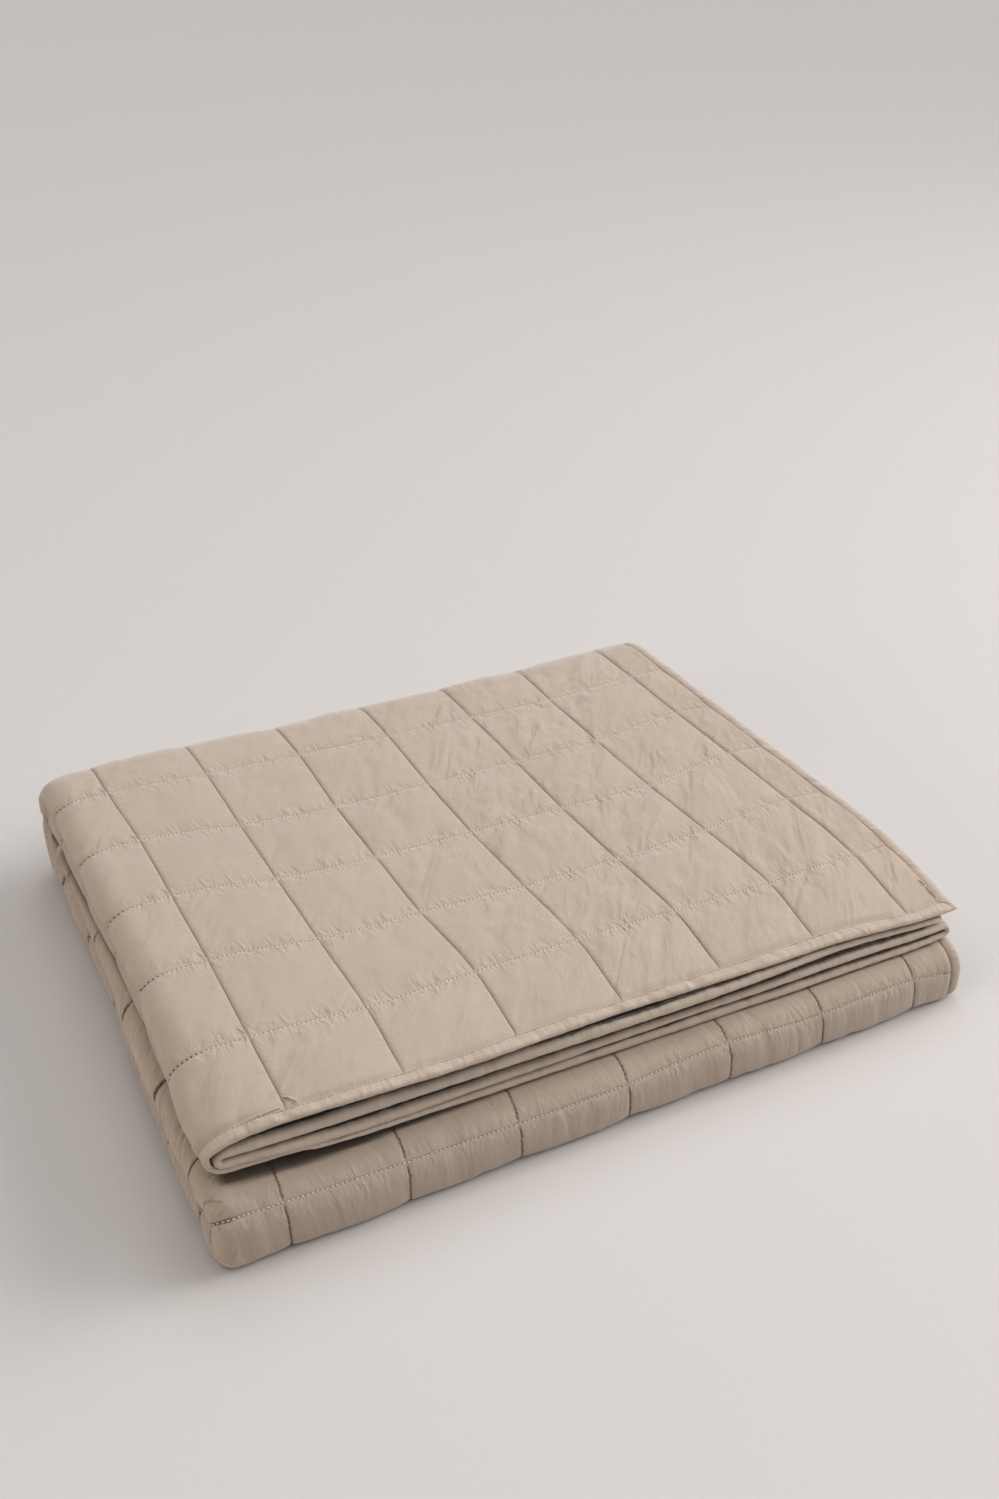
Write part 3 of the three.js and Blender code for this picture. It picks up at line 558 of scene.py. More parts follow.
def new_mesh(name, points, faces, attributes=(), material=None, smooth_faces=True):
    """A mesh object in the row frame from points in millimetres. Faces have 3 or 4 corners."""
    mesh = bpy.data.meshes.new(name)
    points = to_row(points)
    sizes = np.array([len(f) for f in faces], np.int32) if isinstance(faces, list) else np.full(len(faces), faces.shape[1], np.int32)
    flat = np.array([c for f in faces for c in f], np.int32) if isinstance(faces, list) else faces.astype(np.int32).ravel()
    mesh.vertices.add(len(points))
    mesh.vertices.foreach_set("co", points.astype(np.float32).ravel())
    mesh.loops.add(len(flat))
    mesh.loops.foreach_set("vertex_index", flat)
    mesh.polygons.add(len(sizes))
    starts = np.concatenate([[0], np.cumsum(sizes)[:-1]]).astype(np.int32)
    mesh.polygons.foreach_set("loop_start", starts)
    mesh.update(calc_edges=True)
    mesh.validate()
    mesh.polygons.foreach_set("use_smooth", np.full(len(mesh.polygons), smooth_faces))
    for aname, kind, data in attributes:
        at = mesh.attributes.new(aname, kind, "POINT")
        at.data.foreach_set("vector" if kind == "FLOAT_VECTOR" else "value", np.asarray(data, np.float32).ravel())
    obj = bpy.data.objects.new(name, mesh)
    bpy.context.scene.collection.objects.link(obj)
    if material:
        mesh.materials.append(material)
    return obj


def volume(points, tris):
    a, b, c = points[tris[:, 0]], points[tris[:, 1]], points[tris[:, 2]]
    return float(np.einsum("ij,ij->i", a, np.cross(b, c)).sum() / 6)


def line_steps(first_line, start, end, first, near, step):
    """Values from start to end: close together near each quilting line, `step` apart between."""
    keep = {round(start, 3), round(end, 3)}
    k0, k1 = math.floor((start - first) / CELL) - 1, math.ceil((end - first) / CELL) + 1
    reach = near[-1]
    for k in range(k0, k1 + 1):
        line = first + k * CELL
        for d in near:
            keep.update({round(line - d, 3), round(line + d, 3)})
        count = max(1, round((CELL - 2 * reach) / step))
        for i in range(1, count):
            keep.add(round(line + reach + (CELL - 2 * reach) * i / count, 3))
    return np.array(sorted(a for a in keep if start <= a <= end))


NEAR = (0, 0.9, 2.0, 3.6, 6.0)
INSETS = np.array([1.2, 3.4, 6.0, 8.6, 10.8, 12.6, 14.6, 17.0])


def build_quilt():
    # columns: by inset from the bound side, then by U, then by share of the rest
    cols_u = line_steps(0, 20, U_TO - 1, FIRST_COLUMN, NEAR, 3.1)
    cols_u = cols_u[cols_u > 19.9]
    f_end = 1 - INSETS[::-1] / REST_MID
    f_half = np.interp(np.array([0, 1]), [0, 1], [0, 1])
    fx = x_of_share(F_GRID)
    turn_f = F_GRID[np.argmax(fx)]                       # the half fold
    loop_f = F_GRID[200 + np.argmin(fx[200:])]           # the inner loop
    wide = 26.0 / REST_MID
    cols_f = np.concatenate([
        np.linspace(0.006, turn_f - wide, 22),
        np.linspace(turn_f - wide, turn_f + wide, 17)[1:],
        np.linspace(turn_f + wide, loop_f - wide, 24)[1:],
        np.linspace(loop_f - wide, loop_f + wide, 15)[1:],
        np.linspace(loop_f + wide, f_end[0] - 0.004, 24)[1:],
    ])
    nI, nU, nF = len(INSETS), len(cols_u), len(cols_f)
    NC = nI + nU + nF + nI
    # rows
    mid1 = BACK_TURN_Y + FIRST_ROW + 8
    rows = np.concatenate([
        line_steps(0, 20, mid1, FIRST_ROW, NEAR, 3.1),
        line_steps(0, mid1, 598, FIRST_ROW, NEAR, 3.4)[1:],
        line_steps(0, 598, 1032, FIRST_ROW, (0, 1.2, 3, 6), 5.6)[1:],
        line_steps(0, 1032, 1168, FIRST_ROW, NEAR, 3.1)[1:],
        line_steps(0, 1168, 1560, FIRST_ROW, (0, 1.2, 3, 6), 6.2)[1:],
    ])
    NR = nI + len(rows) + nI
    x_col = np.concatenate([np.full(nI, 560.0), np.clip(565 - cols_u, -62, 566), x_of_share(cols_f), np.full(nI, 545.0)])
    V = np.zeros((NR, NC))
    V[:nI] = first_v(x_col)[None] + INSETS[:, None]
    V[nI:-nI] = rows[:, None]
    V[-nI:] = last_v(x_col)[None] - INSETS[::-1, None]
    v = path(x_col[None], V)
    eu = edge_u(v)
    U = np.zeros((NR, NC))
    U[:, :nI] = eu[:, :nI] + INSETS[None]
    beyond = np.array([.25, .52, .78])
    U[:, nI - 3:nI] = lerp(eu[:, nI - 3:nI] + 10.8, 20.0, beyond[None])
    U[:, nI:nI + nU] = cols_u[None]
    F = np.zeros((NR, NC))
    F[:, nI + nU:-nI] = cols_f[None]
    F[:, -nI:] = f_end[None]
    rest_u = np.interp(v, V_GRID, REST)
    U[:, nI + nU:] = U_TO + (F * rest_u)[:, nI + nU:]
    last = np.zeros((NR, NC), bool)
    last[:, nI + nU:] = True

    # how far in from the nearest bound edge
    inset = np.minimum.reduce([U - eu, (V - first_v(x_col)[None]) / read(BIND_SHARE, "x", "w", x_col)[None], last_v(x_col)[None] - V, np.where(last, (1 - F) * rest_u, 1e3)])
    full = smooth((inset - 10.55) / np.where(U - eu < 13.5, 1.5, 4.5))
    inner = smooth((inset - 16) / 30)

    free = lofts(v)
    wr = relief(U, V)
    on_top = v < MARKS[1]
    low = smooth((v - MARKS[1]) / 60)
    # side 0 is the outside of layer 1, side 1 its inside
    h = np.zeros((2, NR, NC))
    deep_r = 1 + 1.6 * smooth((U - 588) / 22) + 1.0 * smooth((V - 470) / 60) * smooth((U - 588) / 22)
    out_a = quilted(U, V, 1.0, deep_r, 2.0) + wr * np.where(U > 600, 1.25, 0.35 + 0.65 * inner)
    pressed = np.minimum(quilted(U, V, .9, .9, .5), 2.2) - .35
    h[0] = np.where(last, 0, np.where(free > 0, out_a, np.minimum(pressed + .25 * wr, 2.19)))
    blend = smooth((np.minimum(abs(v - MARKS[3] + 25), abs(v - MARKS[4] + 6))) / 12)
    h[0] = np.where(last | (v < MARKS[3] - 60), h[0], lerp(np.minimum(h[0], 2.19), h[0], blend))
    at_loop = smooth((U - 602) / 10) * (1 - smooth((U - 652) / 14)) * (1 - last)
    h[0] = lerp(h[0], np.clip(quilted(U, V, 1.0, deep_r, 1.2) + 1.5 * wr, -1.0, 4.2), at_loop * low)
    cap = lerp(3.1, 2.55, low)
    swell = quilted(U + 17, V, 1, 1, 1.2)
    hid = np.minimum(quilted(U, V, 1, 1, 1.3), cap)
    h[0] = np.where(last, hid, h[0])
    gather = .45 * np.sin(U / 2.9 + 1.6 * np.sin(U / 23)) * np.exp(-np.maximum(0, inset - 11) / 22)
    h[1] = np.minimum(quilted(U, V, 1, 1, 1.1) + gather * (v < 120), cap)
    h = lerp(EDGE_CLOTH / 2, np.maximum(h, 0.75), full[None])

    P = np.zeros((2, NR, NC, 3))
    for s, sign in ((0, 1), (1, -1)):
        a = surface(U[:, :nI + nU], V[:, :nI + nU], sign * h[s][:, :nI + nU])
        b = surface_rest(F[:, nI + nU:], V[:, nI + nU:], sign * h[s][:, nI + nU:])
        P[s] = np.concatenate([a, b], 1)
    P[..., 2] = np.maximum(P[..., 2], 0.0)

    # deep folds: 1 where the cloth is hidden from the light
    tip = np.abs(F - turn_f) * REST_MID
    deep = np.ones((2, NR, NC))
    deep[0] = np.where(last, smooth((tip - 10) / lerp(12, 85, smooth((v - 60) / 80))) * smooth(F * REST_MID / 25), 0)
    edge_x = read(STATIONS, "v", "outer", v)
    into = P[0][..., 0] - edge_x
    past = U - (567 - edge_x)
    # painted shade: valley darkens the valleys between the lower runs at the left, recess the top run's underside at
    # the left edge, under the lower fold beneath the top run's front end, and ground the cloth where it meets the floor
    valley = smooth((past - 9) / 9) * (into > 2) * low
    recess = np.maximum(.2 * smooth((past - 3) / 3) * (1 - smooth((past - 8) / 10)) * read(EDGE_SHAPE, "v", "much", v), lerp(.9, .36, smooth((v - 120) / 160)) * smooth((past - 31) / 5)) * (1 - low)
    px, py, pz = (P[0][..., k] for k in range(3))
    roof = TOP_FRONT_Y + read(RUN_ENDS, "x", "edge", px) + read(STEP_BACK, "x", "fourth", px)
    under = smooth((py - roof - .3) / 3.0) * smooth((pz - 38) / 8) * (1 - smooth((px - 528) / 12)) * np.maximum(smooth((px + 49) / 5), smooth((px + 54) / 8) * (1 - smooth((py + 72) / 10))) * (v > MARKS[3])
    ground = smooth((3.2 - P[0][..., 2]) / 2.8) * (v > MARKS[1])
    # the right side is open, so some light reaches in between the layers there
    lit = 1 - .62 * (1 - smooth((np.where(last, (1 - F) * rest_u, U - eu) - 8) / 70)) * smooth((v - 60) / 80)
    deep[0] = np.where(last, deep[0] * lit, np.maximum.reduce([.85 * valley, recess, .9 * ground, lerp(.95, .6, smooth((py + 60) / 60)) * under]))
    deep[1] *= lit

    # patches of the two sides: a fine one where it shows, coarser ones where it is hidden
    def pick(a, b, n):
        return np.unique(np.round(np.linspace(a, b, n + 1)).astype(int))

    r_top = nI + int(np.searchsorted(rows, mid1))
    r_back = nI + int(np.searchsorted(rows, 598))
    r_bot = nI + int(np.searchsorted(rows, 1032))
    r_front = nI + int(np.searchsorted(rows, 1168))
    r_lip = nI + int(np.searchsorted(rows, 44))
    c_edge, c_one = nI, nI + nU - 1
    c_right = nI + int(np.searchsorted(cols_u, 60))
    c_left, c_end = nI + int(np.searchsorted(cols_u, 594)), nI + int(np.searchsorted(cols_u, 662))

    def span(a, b, step):
        return pick(a, b, max(1, round((b - a) / step)))

    band = {
        "top": (0, r_top), "back": (r_top, r_back), "bottom": (r_back, r_bot), "front": (r_bot, r_front), "middle": (r_front, NR - 1)}
    patches = []
    for name, (a, b) in band.items():
        r_step = {"top": 1, "back": 1, "bottom": 3.4, "front": 1, "middle": 7}[name]
        c_step = {"top": 1, "back": 2, "bottom": 3, "front": 1, "middle": 6}[name]
        patches.append((0, span(a, b, r_step), span(0, c_left, c_step)))
        patches.append((0, span(a, b, 1), span(c_left, c_end, 1)))
        patches.append((0, span(a, b, 1), span(c_end, c_one, 2.2)))
        h_step = {"top": 5, "back": 2.4, "bottom": 5, "front": 2, "middle": 6}[name]
        patches.append((0, span(a, b, h_step), span(c_one, NC - 1, 1)))
    patches.append((1, pick(0, r_lip, max(1, (r_lip) // 2)), span(0, c_one, 2)))
    patches.append((1, pick(0, r_lip, max(1, (r_lip) // 2)), span(c_one, NC - 1, 1)))
    for name, (a, b) in band.items():
        a = r_lip if name == "top" else a
        h_step = {"top": 7, "back": 3, "bottom": 7, "front": 3, "middle": 8}[name]
        patches.append((1, span(a, b, h_step), np.concatenate([span(0, c_right, 3)[:-1], span(c_right, c_one, 9)])))
        patches.append((1, span(a, b, h_step), span(c_one, NC - 1, 1.35)))

    active = np.zeros((2, NR, NC), bool)
    for s, rr, cc in patches:
        active[s][np.ix_(rr, cc)] = True
    rim = np.zeros((NR, NC), bool)
    rim[0], rim[-1], rim[:, 0], rim[:, -1] = True, True, True, True
    both = (active[0] | active[1]) & rim
    active |= both[None]
    ids = np.full(active.shape, -1)
    ids[active] = np.arange(active.sum())
    pts = P[active]
    cloth = np.stack([U, V, 0 * U], -1)
    uv = np.stack([cloth, cloth], 0)
    uv[..., 2] = deep
    uv = uv[active]
    quads, tris, extra, extra_uv = [], [], [], []
    base = len(pts)
    for s, rr, cc in patches:
        r0, c0 = np.meshgrid(rr[:-1], cc[:-1], indexing="ij")
        r1, c1 = np.meshgrid(rr[1:], cc[1:], indexing="ij")
        edge_cell = np.zeros(r0.shape, bool)
        edge_cell[0], edge_cell[-1], edge_cell[:, 0], edge_cell[:, -1] = True, True, True, True
        plain = ~edge_cell
        q = np.stack([ids[s][r0, c0], ids[s][r0, c1], ids[s][r1, c1], ids[s][r1, c0]], -1)
        if s == 1:
            q = q[..., ::-1]
        quads.append(q[plain])
        act = active[s]
        for i, j in zip(*np.nonzero(edge_cell)):
            a, b, c, d = r0[i, j], c0[i, j], r1[i, j], c1[i, j]
            loop = [(a, k) for k in range(b, d) if act[a, k]] + [(k, d) for k in range(a, c) if act[k, d]]
            loop += [(c, k) for k in range(d, b, -1) if act[c, k]] + [(k, b) for k in range(c, a, -1) if act[k, b]]
            poly = [ids[s][p] for p in loop]
            if s == 1:
                poly = poly[::-1]
            if len(poly) == 4:
                quads.append(np.array([poly]))
            else:
                centre = base + len(extra)
                extra.append(pts[poly].mean(0))
                extra_uv.append(uv[poly].mean(0))
                for k in range(len(poly)):
                    tris.append((poly[k], poly[(k + 1) % len(poly)], centre))
    # the squeezed edge between the two sides
    ring = [(0, c) for c in range(NC)] + [(r, NC - 1) for r in range(1, NR)] + [(NR - 1, c) for c in range(NC - 2, -1, -1)] + [(r, 0) for r in range(NR - 2, 0, -1)]
    ring = [p for p in ring if active[0][p]]
    for k in range(len(ring)):
        p, q = ring[k], ring[(k + 1) % len(ring)]
        quads.append(np.array([[ids[0][q], ids[0][p], ids[1][p], ids[1][q]]]))
    quads = np.concatenate(quads)
    if extra:
        pts = np.concatenate([pts, np.array(extra)])
        uv = np.concatenate([uv, np.array(extra_uv)])
    tri_all = np.concatenate([quads[:, [0, 1, 2]], quads[:, [0, 2, 3]], np.array(tris)])
    if volume(pts, tri_all) < 0:
        quads, tris = quads[:, ::-1], [t[::-1] for t in tris]
    print("quilt:", len(pts), "points,", 2 * len(quads) + len(tris), "triangles")
    faces = quads.tolist() + [list(t) for t in tris]
    return pts, faces, uv


# ------------------------------------------------------------------ bindings
# Outer and inner profile of a folded binding strip: in from its fold, off the middle.
BIND_OUT = [(10.6, 1.55), (10.1, 1.95), (9.3, 1.95), (8.5, 2.35), (7.2, 2.8), (5.6, 3.0), (3.8, 2.95), (2.2, 2.55), (0.9, 1.75), (0.15, .75)]
BIND_IN = [(0.95, 0.4), (1.15, 1.2), (3.0, 1.5), (6.5, 1.45), (9.0, 1.2), (10.6, 1.15)]
BIND_RING = ([(d, h) for d, h in BIND_OUT] + [(d, -h) for d, h in BIND_OUT[::-1]] + [(d, -h) for d, h in BIND_IN[::-1]] + [(d, h) for d, h in BIND_IN])


def tube(name, rings, uv, material):
    """A closed strip from rings of equal length, with flat ends."""
    n, m = len(rings), rings.shape[1]
    i, j = np.meshgrid(np.arange(n - 1), np.arange(m), indexing="ij")
    k = (j + 1) % m
    quads = np.stack([i * m + j, i * m + k, (i + 1) * m + k, (i + 1) * m + j], -1).reshape(-1, 4)
    outs, ins = list(range(2 * len(BIND_OUT))), list(range(m - 1, 2 * len(BIND_OUT) - 1, -1))
    caps = []
    # the ends: zip the outer line of the profile to the inner one
    a, b = 0, 0
    while a < len(outs) - 1 or b < len(ins) - 1:
        if b == len(ins) - 1 or (a < len(outs) - 1 and (a + 1) / (len(outs) - 1) <= (b + 1) / (len(ins) - 1)):
            caps.append((outs[a], outs[a + 1], ins[b])); a += 1
        else:
            caps.append((outs[a], ins[b + 1], ins[b])); b += 1
    caps = np.array(caps)
    tris = np.concatenate([caps[:, ::-1], caps + (n - 1) * m])
    pts = rings.reshape(-1, 3)
    all_tris = np.concatenate([quads[:, [0, 1, 2]], quads[:, [0, 2, 3]], tris])
    if volume(pts, all_tris) < 0:
        quads, tris = quads[:, ::-1], tris[:, ::-1]
    return new_mesh(name, pts, quads.tolist() + tris.tolist(), [("cloth", "FLOAT_VECTOR", uv.reshape(-1, 3))], material)


def ripple(a, seed, sizes=((4.1, .05), (9.7, .10), (23, .14), (61, .16))):
    r = np.random.default_rng(seed)
    return sum(amp * np.sin(2 * np.pi * a / wave + r.uniform(0, 6.28) + 1.3 * np.sin(2 * np.pi * a / (wave * 3.7) + r.uniform(0, 6.28))) for wave, amp in sizes)


def profile_length(d, h):
    return np.cumsum(np.hypot(np.diff(d, prepend=d[0]), np.diff(h, prepend=h[0])))[None]


MITRE = np.array([0, .25, .5, .75])


def end_binding(name, at_end, step, material):
    lu = np.concatenate([12 * MITRE, np.arange(12.0, U_TO, step)])
    lf = np.linspace(0, 1, int(REST_MID / step))[1:]
    d, h = np.array(BIND_RING).T
    x_col = np.clip(565 - lu, -62, 566)
    along_u, along_f = lu, U_TO + lf * REST_MID
    wave = ripple(np.concatenate([along_u, along_f]), 3 + at_end)
    fat = 1 + .5 * ripple(np.concatenate([along_u, along_f]), 13 + at_end)
    pinch = 1.0 if not at_end else .86
    turn_f = F_GRID[np.argmax(x_of_share(F_GRID))]
    parts, uvs = [], []
    for group, coords, x0 in (("u", lu, x_col), ("f", lf, x_of_share(lf))):
        sl = slice(0, len(lu)) if group == "u" else slice(len(lu), None)
        push = 0.35 * wave[sl][:, None]
        dd = d[None] + push * (d[None] < 8)
        V = first_v(x0)[:, None] + dd * read(BIND_SHARE, "x", "w", x0)[:, None] if not at_end else last_v(x0)[:, None] - dd
        hh = h[None] * pinch * (1 + (fat[sl][:, None] - 1) * (np.abs(h[None]) > 1.6))
        if group == "u":
            uu = np.repeat(coords[:, None], len(d), 1)
            k = len(MITRE)
            corner = edge_u(path(566.0, V[:k])) + dd[:k] + .12
            uu[:k] = lerp(corner, 12.0, MITRE[:, None])
            parts.append(surface(uu, V, hh))
            deep = smooth((dd - .8) / 2.0) * (hh < 0)
        else:
            if not at_end:
                loop_f = F_GRID[200 + np.argmin(x_of_share(F_GRID[200:]))]
                ease = smooth((np.abs(coords - turn_f) * REST_MID - 8) / 20) * smooth((np.abs(coords - loop_f) * REST_MID - 6) / 20)
                tops = [np.where(coords < turn_f, read(PLUMP_TOP, "x", "fourth", x0), np.where(coords < loop_f, 1.0, read(PLUMP_TOP, "x", "second", x0))),
                        np.where((coords >= turn_f) & (coords < loop_f), read(PLUMP_TOP, "x", "third", x0), 1.0)]
                below, above = (lerp(1.0, q, ease)[:, None] for q in tops)
                hh = hh * np.where(np.abs(h[None]) > 1.6, np.where(hh < 0, below, above), 1.0)
            parts.append(surface_rest(np.repeat(coords[:, None], len(d), 1), V, hh))
            out_tip = (1 - smooth((np.abs(coords - turn_f) * REST_MID - 10) / 12))[:, None] * (hh > 0)
            deep = smooth((dd - read(PLUMP_TOP, "x", "dark", x0)[:, None]) / 2.4) * (1 - out_tip)
        a = (along_u if group == "u" else along_f)[:, None] + 0 * V
        # the third value is painted shade: the binding's underside, and on the inner layers the part back in the gaps
        uvs.append(np.stack([a, np.broadcast_to(profile_length(d, h), V.shape), deep], -1))
    return tube(name, np.concatenate(parts), np.concatenate(uvs), material)


# How plump the upper side of each inner layer's front binding is, and how far in it is in the dark.
PLUMP_TOP = table("x second third fourth dark", (-60, 1.15, 1.05, .8, 6.5), (0, 1.3, 1.05, .7, 7.0), (34, 1.65, 1.1, .6, 7.0), (139, 1.6, 1.1, .7, 6.4), (242, 1.65, 1.15, 1.05, 4.2),
                  (345, 1.5, .8, 1.35, 3.0), (439, .95, 1.2, 1.2, 2.4), (513, .75, 1.2, 1.0, 2.0), (560, .9, 1.0, 1.0, 2.0))


def side_binding(name, outer, step, material):
    x0 = 560.0 if outer else 545.0
    V0, V1 = float(first_v(x0)) + (12.0 if outer else 11.0), float(last_v(x0)) - 11.0
    fine = np.concatenate([V0 - 12 * (1 - MITRE), np.arange(V0, V1, step)]) if outer else np.arange(V0, V1, step)
    V = fine[:, None]
    d, h = np.array(BIND_RING).T
    wave, fat = ripple(fine, 31 + outer)[:, None], ripple(fine, 41 + outer)[:, None]
    dd = d[None] + .35 * wave * (d[None] < 8)
    VV = V + 0 * dd
    if outer:
        k = len(MITRE)
        VV[:k] = lerp(V0 - 12 + dd[:k] * float(read(BIND_SHARE, "x", "w", x0)) + .12, V0, MITRE[:, None])
    v = path(x0, VV)
    slim = lerp(.85, .82, smooth((v - MARKS[1]) / 80))
    hh = h[None] * slim * (1 + .5 * fat * (np.abs(h[None]) > 1.6))
    if outer:
        pts = surface(edge_u(v) + dd, VV, hh)
        deep = smooth((dd - .8) / 2.0) * (hh < 0)
    else:
        rest = np.interp(v, V_GRID, REST)
        pts = surface_rest(1 - dd / rest, VV, hh)
        deep = smooth((dd - 5.0) / 3.0)
    # deep is painted shade: the underside of the outer binding, and the inner binding back in the gap; weaker past the
    # front end, where light reaches in
    deep = deep * (1 - .62 * smooth((v - 60) / 80))
    uv = np.stack([VV, np.broadcast_to(profile_length(d, h), VV.shape), deep], -1)
    return tube(name, pts, uv, material)


# ------------------------------------------------------------------ stitches
def beads(name, starts, ends, ups, radius, material):
    """Short lengths of thread, each a tapered bead, joined into one mesh."""
    starts, ends, ups = (np.asarray(a, float) for a in (starts, ends, ups))
    axis = ends - starts
    length = np.linalg.norm(axis, axis=1, keepdims=True)
    axis = axis / np.maximum(length, 1e-9)
    ups = ups - (ups * axis).sum(1, keepdims=True) * axis
    ups /= np.maximum(np.linalg.norm(ups, axis=1, keepdims=True), 1e-9)
    side = np.cross(axis, ups)
    n = 5
    ang = np.arange(n) / n * 2 * np.pi + .3
    rings = []
    for t, r in ((.14, .72), (.5, 1.0), (.86, .72)):
        centre = starts + axis * length * t + ups * radius * (.5 if t == .5 else .05)
        rings.append(centre[:, None] + radius * r * (np.cos(ang)[None, :, None] * side[:, None] + .8 * np.sin(ang)[None, :, None] * ups[:, None]))
    a = starts - ups * radius * .7
    b = ends - ups * radius * .7
    block = np.concatenate([a[:, None], *rings, b[:, None]], 1)
    m = block.shape[1]
    f = []
    for k in range(n):
        q = (k + 1) % n
        f.append((0, 1 + q, 1 + k))
        f.append((m - 1, 1 + 2 * n + k, 1 + 2 * n + q))
        for r in (0, 1):
            x, y = 1 + r * n, 1 + (r + 1) * n
            f += [(x + k, x + q, y + q), (x + k, y + q, y + k)]
    f = np.array(f)
    faces = (f[None] + (np.arange(len(starts)) * m)[:, None, None]).reshape(-1, 3)
    pts = block.reshape(-1, 3)
    if volume(pts[:m], f) < 0:
        faces = faces[:, ::-1]
    return new_mesh(name, pts, faces, [], material)


def seam(kind, fixed, start, stop, pitch, length, lift, offset=0.0):
    """Stitches along a column (fixed U) or a row (fixed V): start points, end points, ups."""
    a = np.arange(start, stop, pitch)
    r = np.random.default_rng(int(abs(fixed) * 7) + 11)
    a = a + r.normal(0, .12, len(a))
    b = a + length
    wob = r.normal(0, .10, len(a))

    def at(s, h):
        if kind == "column":
            U, V = fixed + offset + wob, s
        else:
            U, V = s, fixed + offset + wob
        base = quilted(U, V, 1, 1, 2.0) + relief(U, V)
        base = np.where(lofts(path(np.clip(565 - U, -62, 566), V)) > 0, base, np.minimum(base, 1.6))
        return surface(U, V, base + h)

    p, q = at(a, lift), at(b, lift)
    up = at(a, lift + 1) - p
    return p, q, up


def bind_seam(kind, start, stop, pitch, length, side_height):
    a = np.arange(start, stop, pitch)
    r = np.random.default_rng(5 if kind == "front" else 6)
    a = a + r.normal(0, .15, len(a))
    b = a + length
    d = 9.35 + r.normal(0, .1, len(a))

    def at(s, h):
        if kind == "front":
            x0 = np.clip(565 - s, -62, 566)
            return surface(s, first_v(x0) + d * read(BIND_SHARE, "x", "w", x0), side_height + h)
        v = path(560.0, s)
        return surface(edge_u(v) + d, s, side_height * lerp(.85, .82, smooth((v - MARKS[1]) / 80)) + h)

    p, q = at(a, 0), at(b, 0)
    return p, q, at(a, 1) - p


def bind_seam_rest(start, stop, pitch, length, height, d0=9.35):
    """Stitches on the front end's binding, on the inner layers."""
    a = np.arange(start, stop, pitch)
    r = np.random.default_rng(17)
    f0, f1 = a / REST_MID, (a + length) / REST_MID

    def at(f, h):
        return surface_rest(f, first_v(x_of_share(f)) + d0 * read(BIND_SHARE, "x", "w", x_of_share(f)), h)

    p, q = at(f0, height), at(f1, height)
    return p, q, at(f0, height + (1 if height > 0 else -1)) - p


# ------------------------------------------------------------------ materials
def nodes_of(name):
    m = bpy.data.materials.new(name)
    m.use_nodes = True
    nt = m.node_tree
    bsdf = nt.nodes["Principled BSDF"]
    return m, nt, bsdf


class Net:
    def __init__(self, tree):
        self.t = tree

    def put(self, value, socket):
        if isinstance(value, bpy.types.NodeSocket):
            self.t.links.new(value, socket)
        else:
            socket.default_value = value

    def math(self, op, a, b=None, c=None, clamp=False):
        n = self.t.nodes.new("ShaderNodeMath")
        n.operation, n.use_clamp = op, clamp
        for i, q in enumerate((a, b, c)):
            if q is not None:
                self.put(q, n.inputs[i])
        return n.outputs[0]

    def vec(self, x, y, z):
        n = self.t.nodes.new("ShaderNodeCombineXYZ")
        for i, q in enumerate((x, y, z)):
            self.put(q, n.inputs[i])
        return n.outputs[0]

    def noise(self, vector, scale, detail=2.0, rough=.5, distortion=0.0):
        n = self.t.nodes.new("ShaderNodeTexNoise")
        self.put(vector, n.inputs["Vector"])
        n.inputs["Scale"].default_value = scale
        n.inputs["Detail"].default_value = detail
        n.inputs["Roughness"].default_value = rough
        n.inputs["Distortion"].default_value = distortion
        return n.outputs["Fac"]

    def ramp(self, value, a, b, c=0.0, d=1.0):
        n = self.t.nodes.new("ShaderNodeMapRange")
        n.interpolation_type = "SMOOTHSTEP"
        self.put(value, n.inputs["Value"])
        for i, q in zip(("From Min", "From Max", "To Min", "To Max"), (a, b, c, d)):
            self.put(q, n.inputs[i])
        return n.outputs[0]

    def mix(self, fac, a, b, kind="MIX"):
        n = self.t.nodes.new("ShaderNodeMix")
        n.data_type, n.blend_type = "RGBA", kind
        self.put(fac, n.inputs[0])
        self.put(a, n.inputs[6])
        self.put(b, n.inputs[7])
        return n.outputs[2]


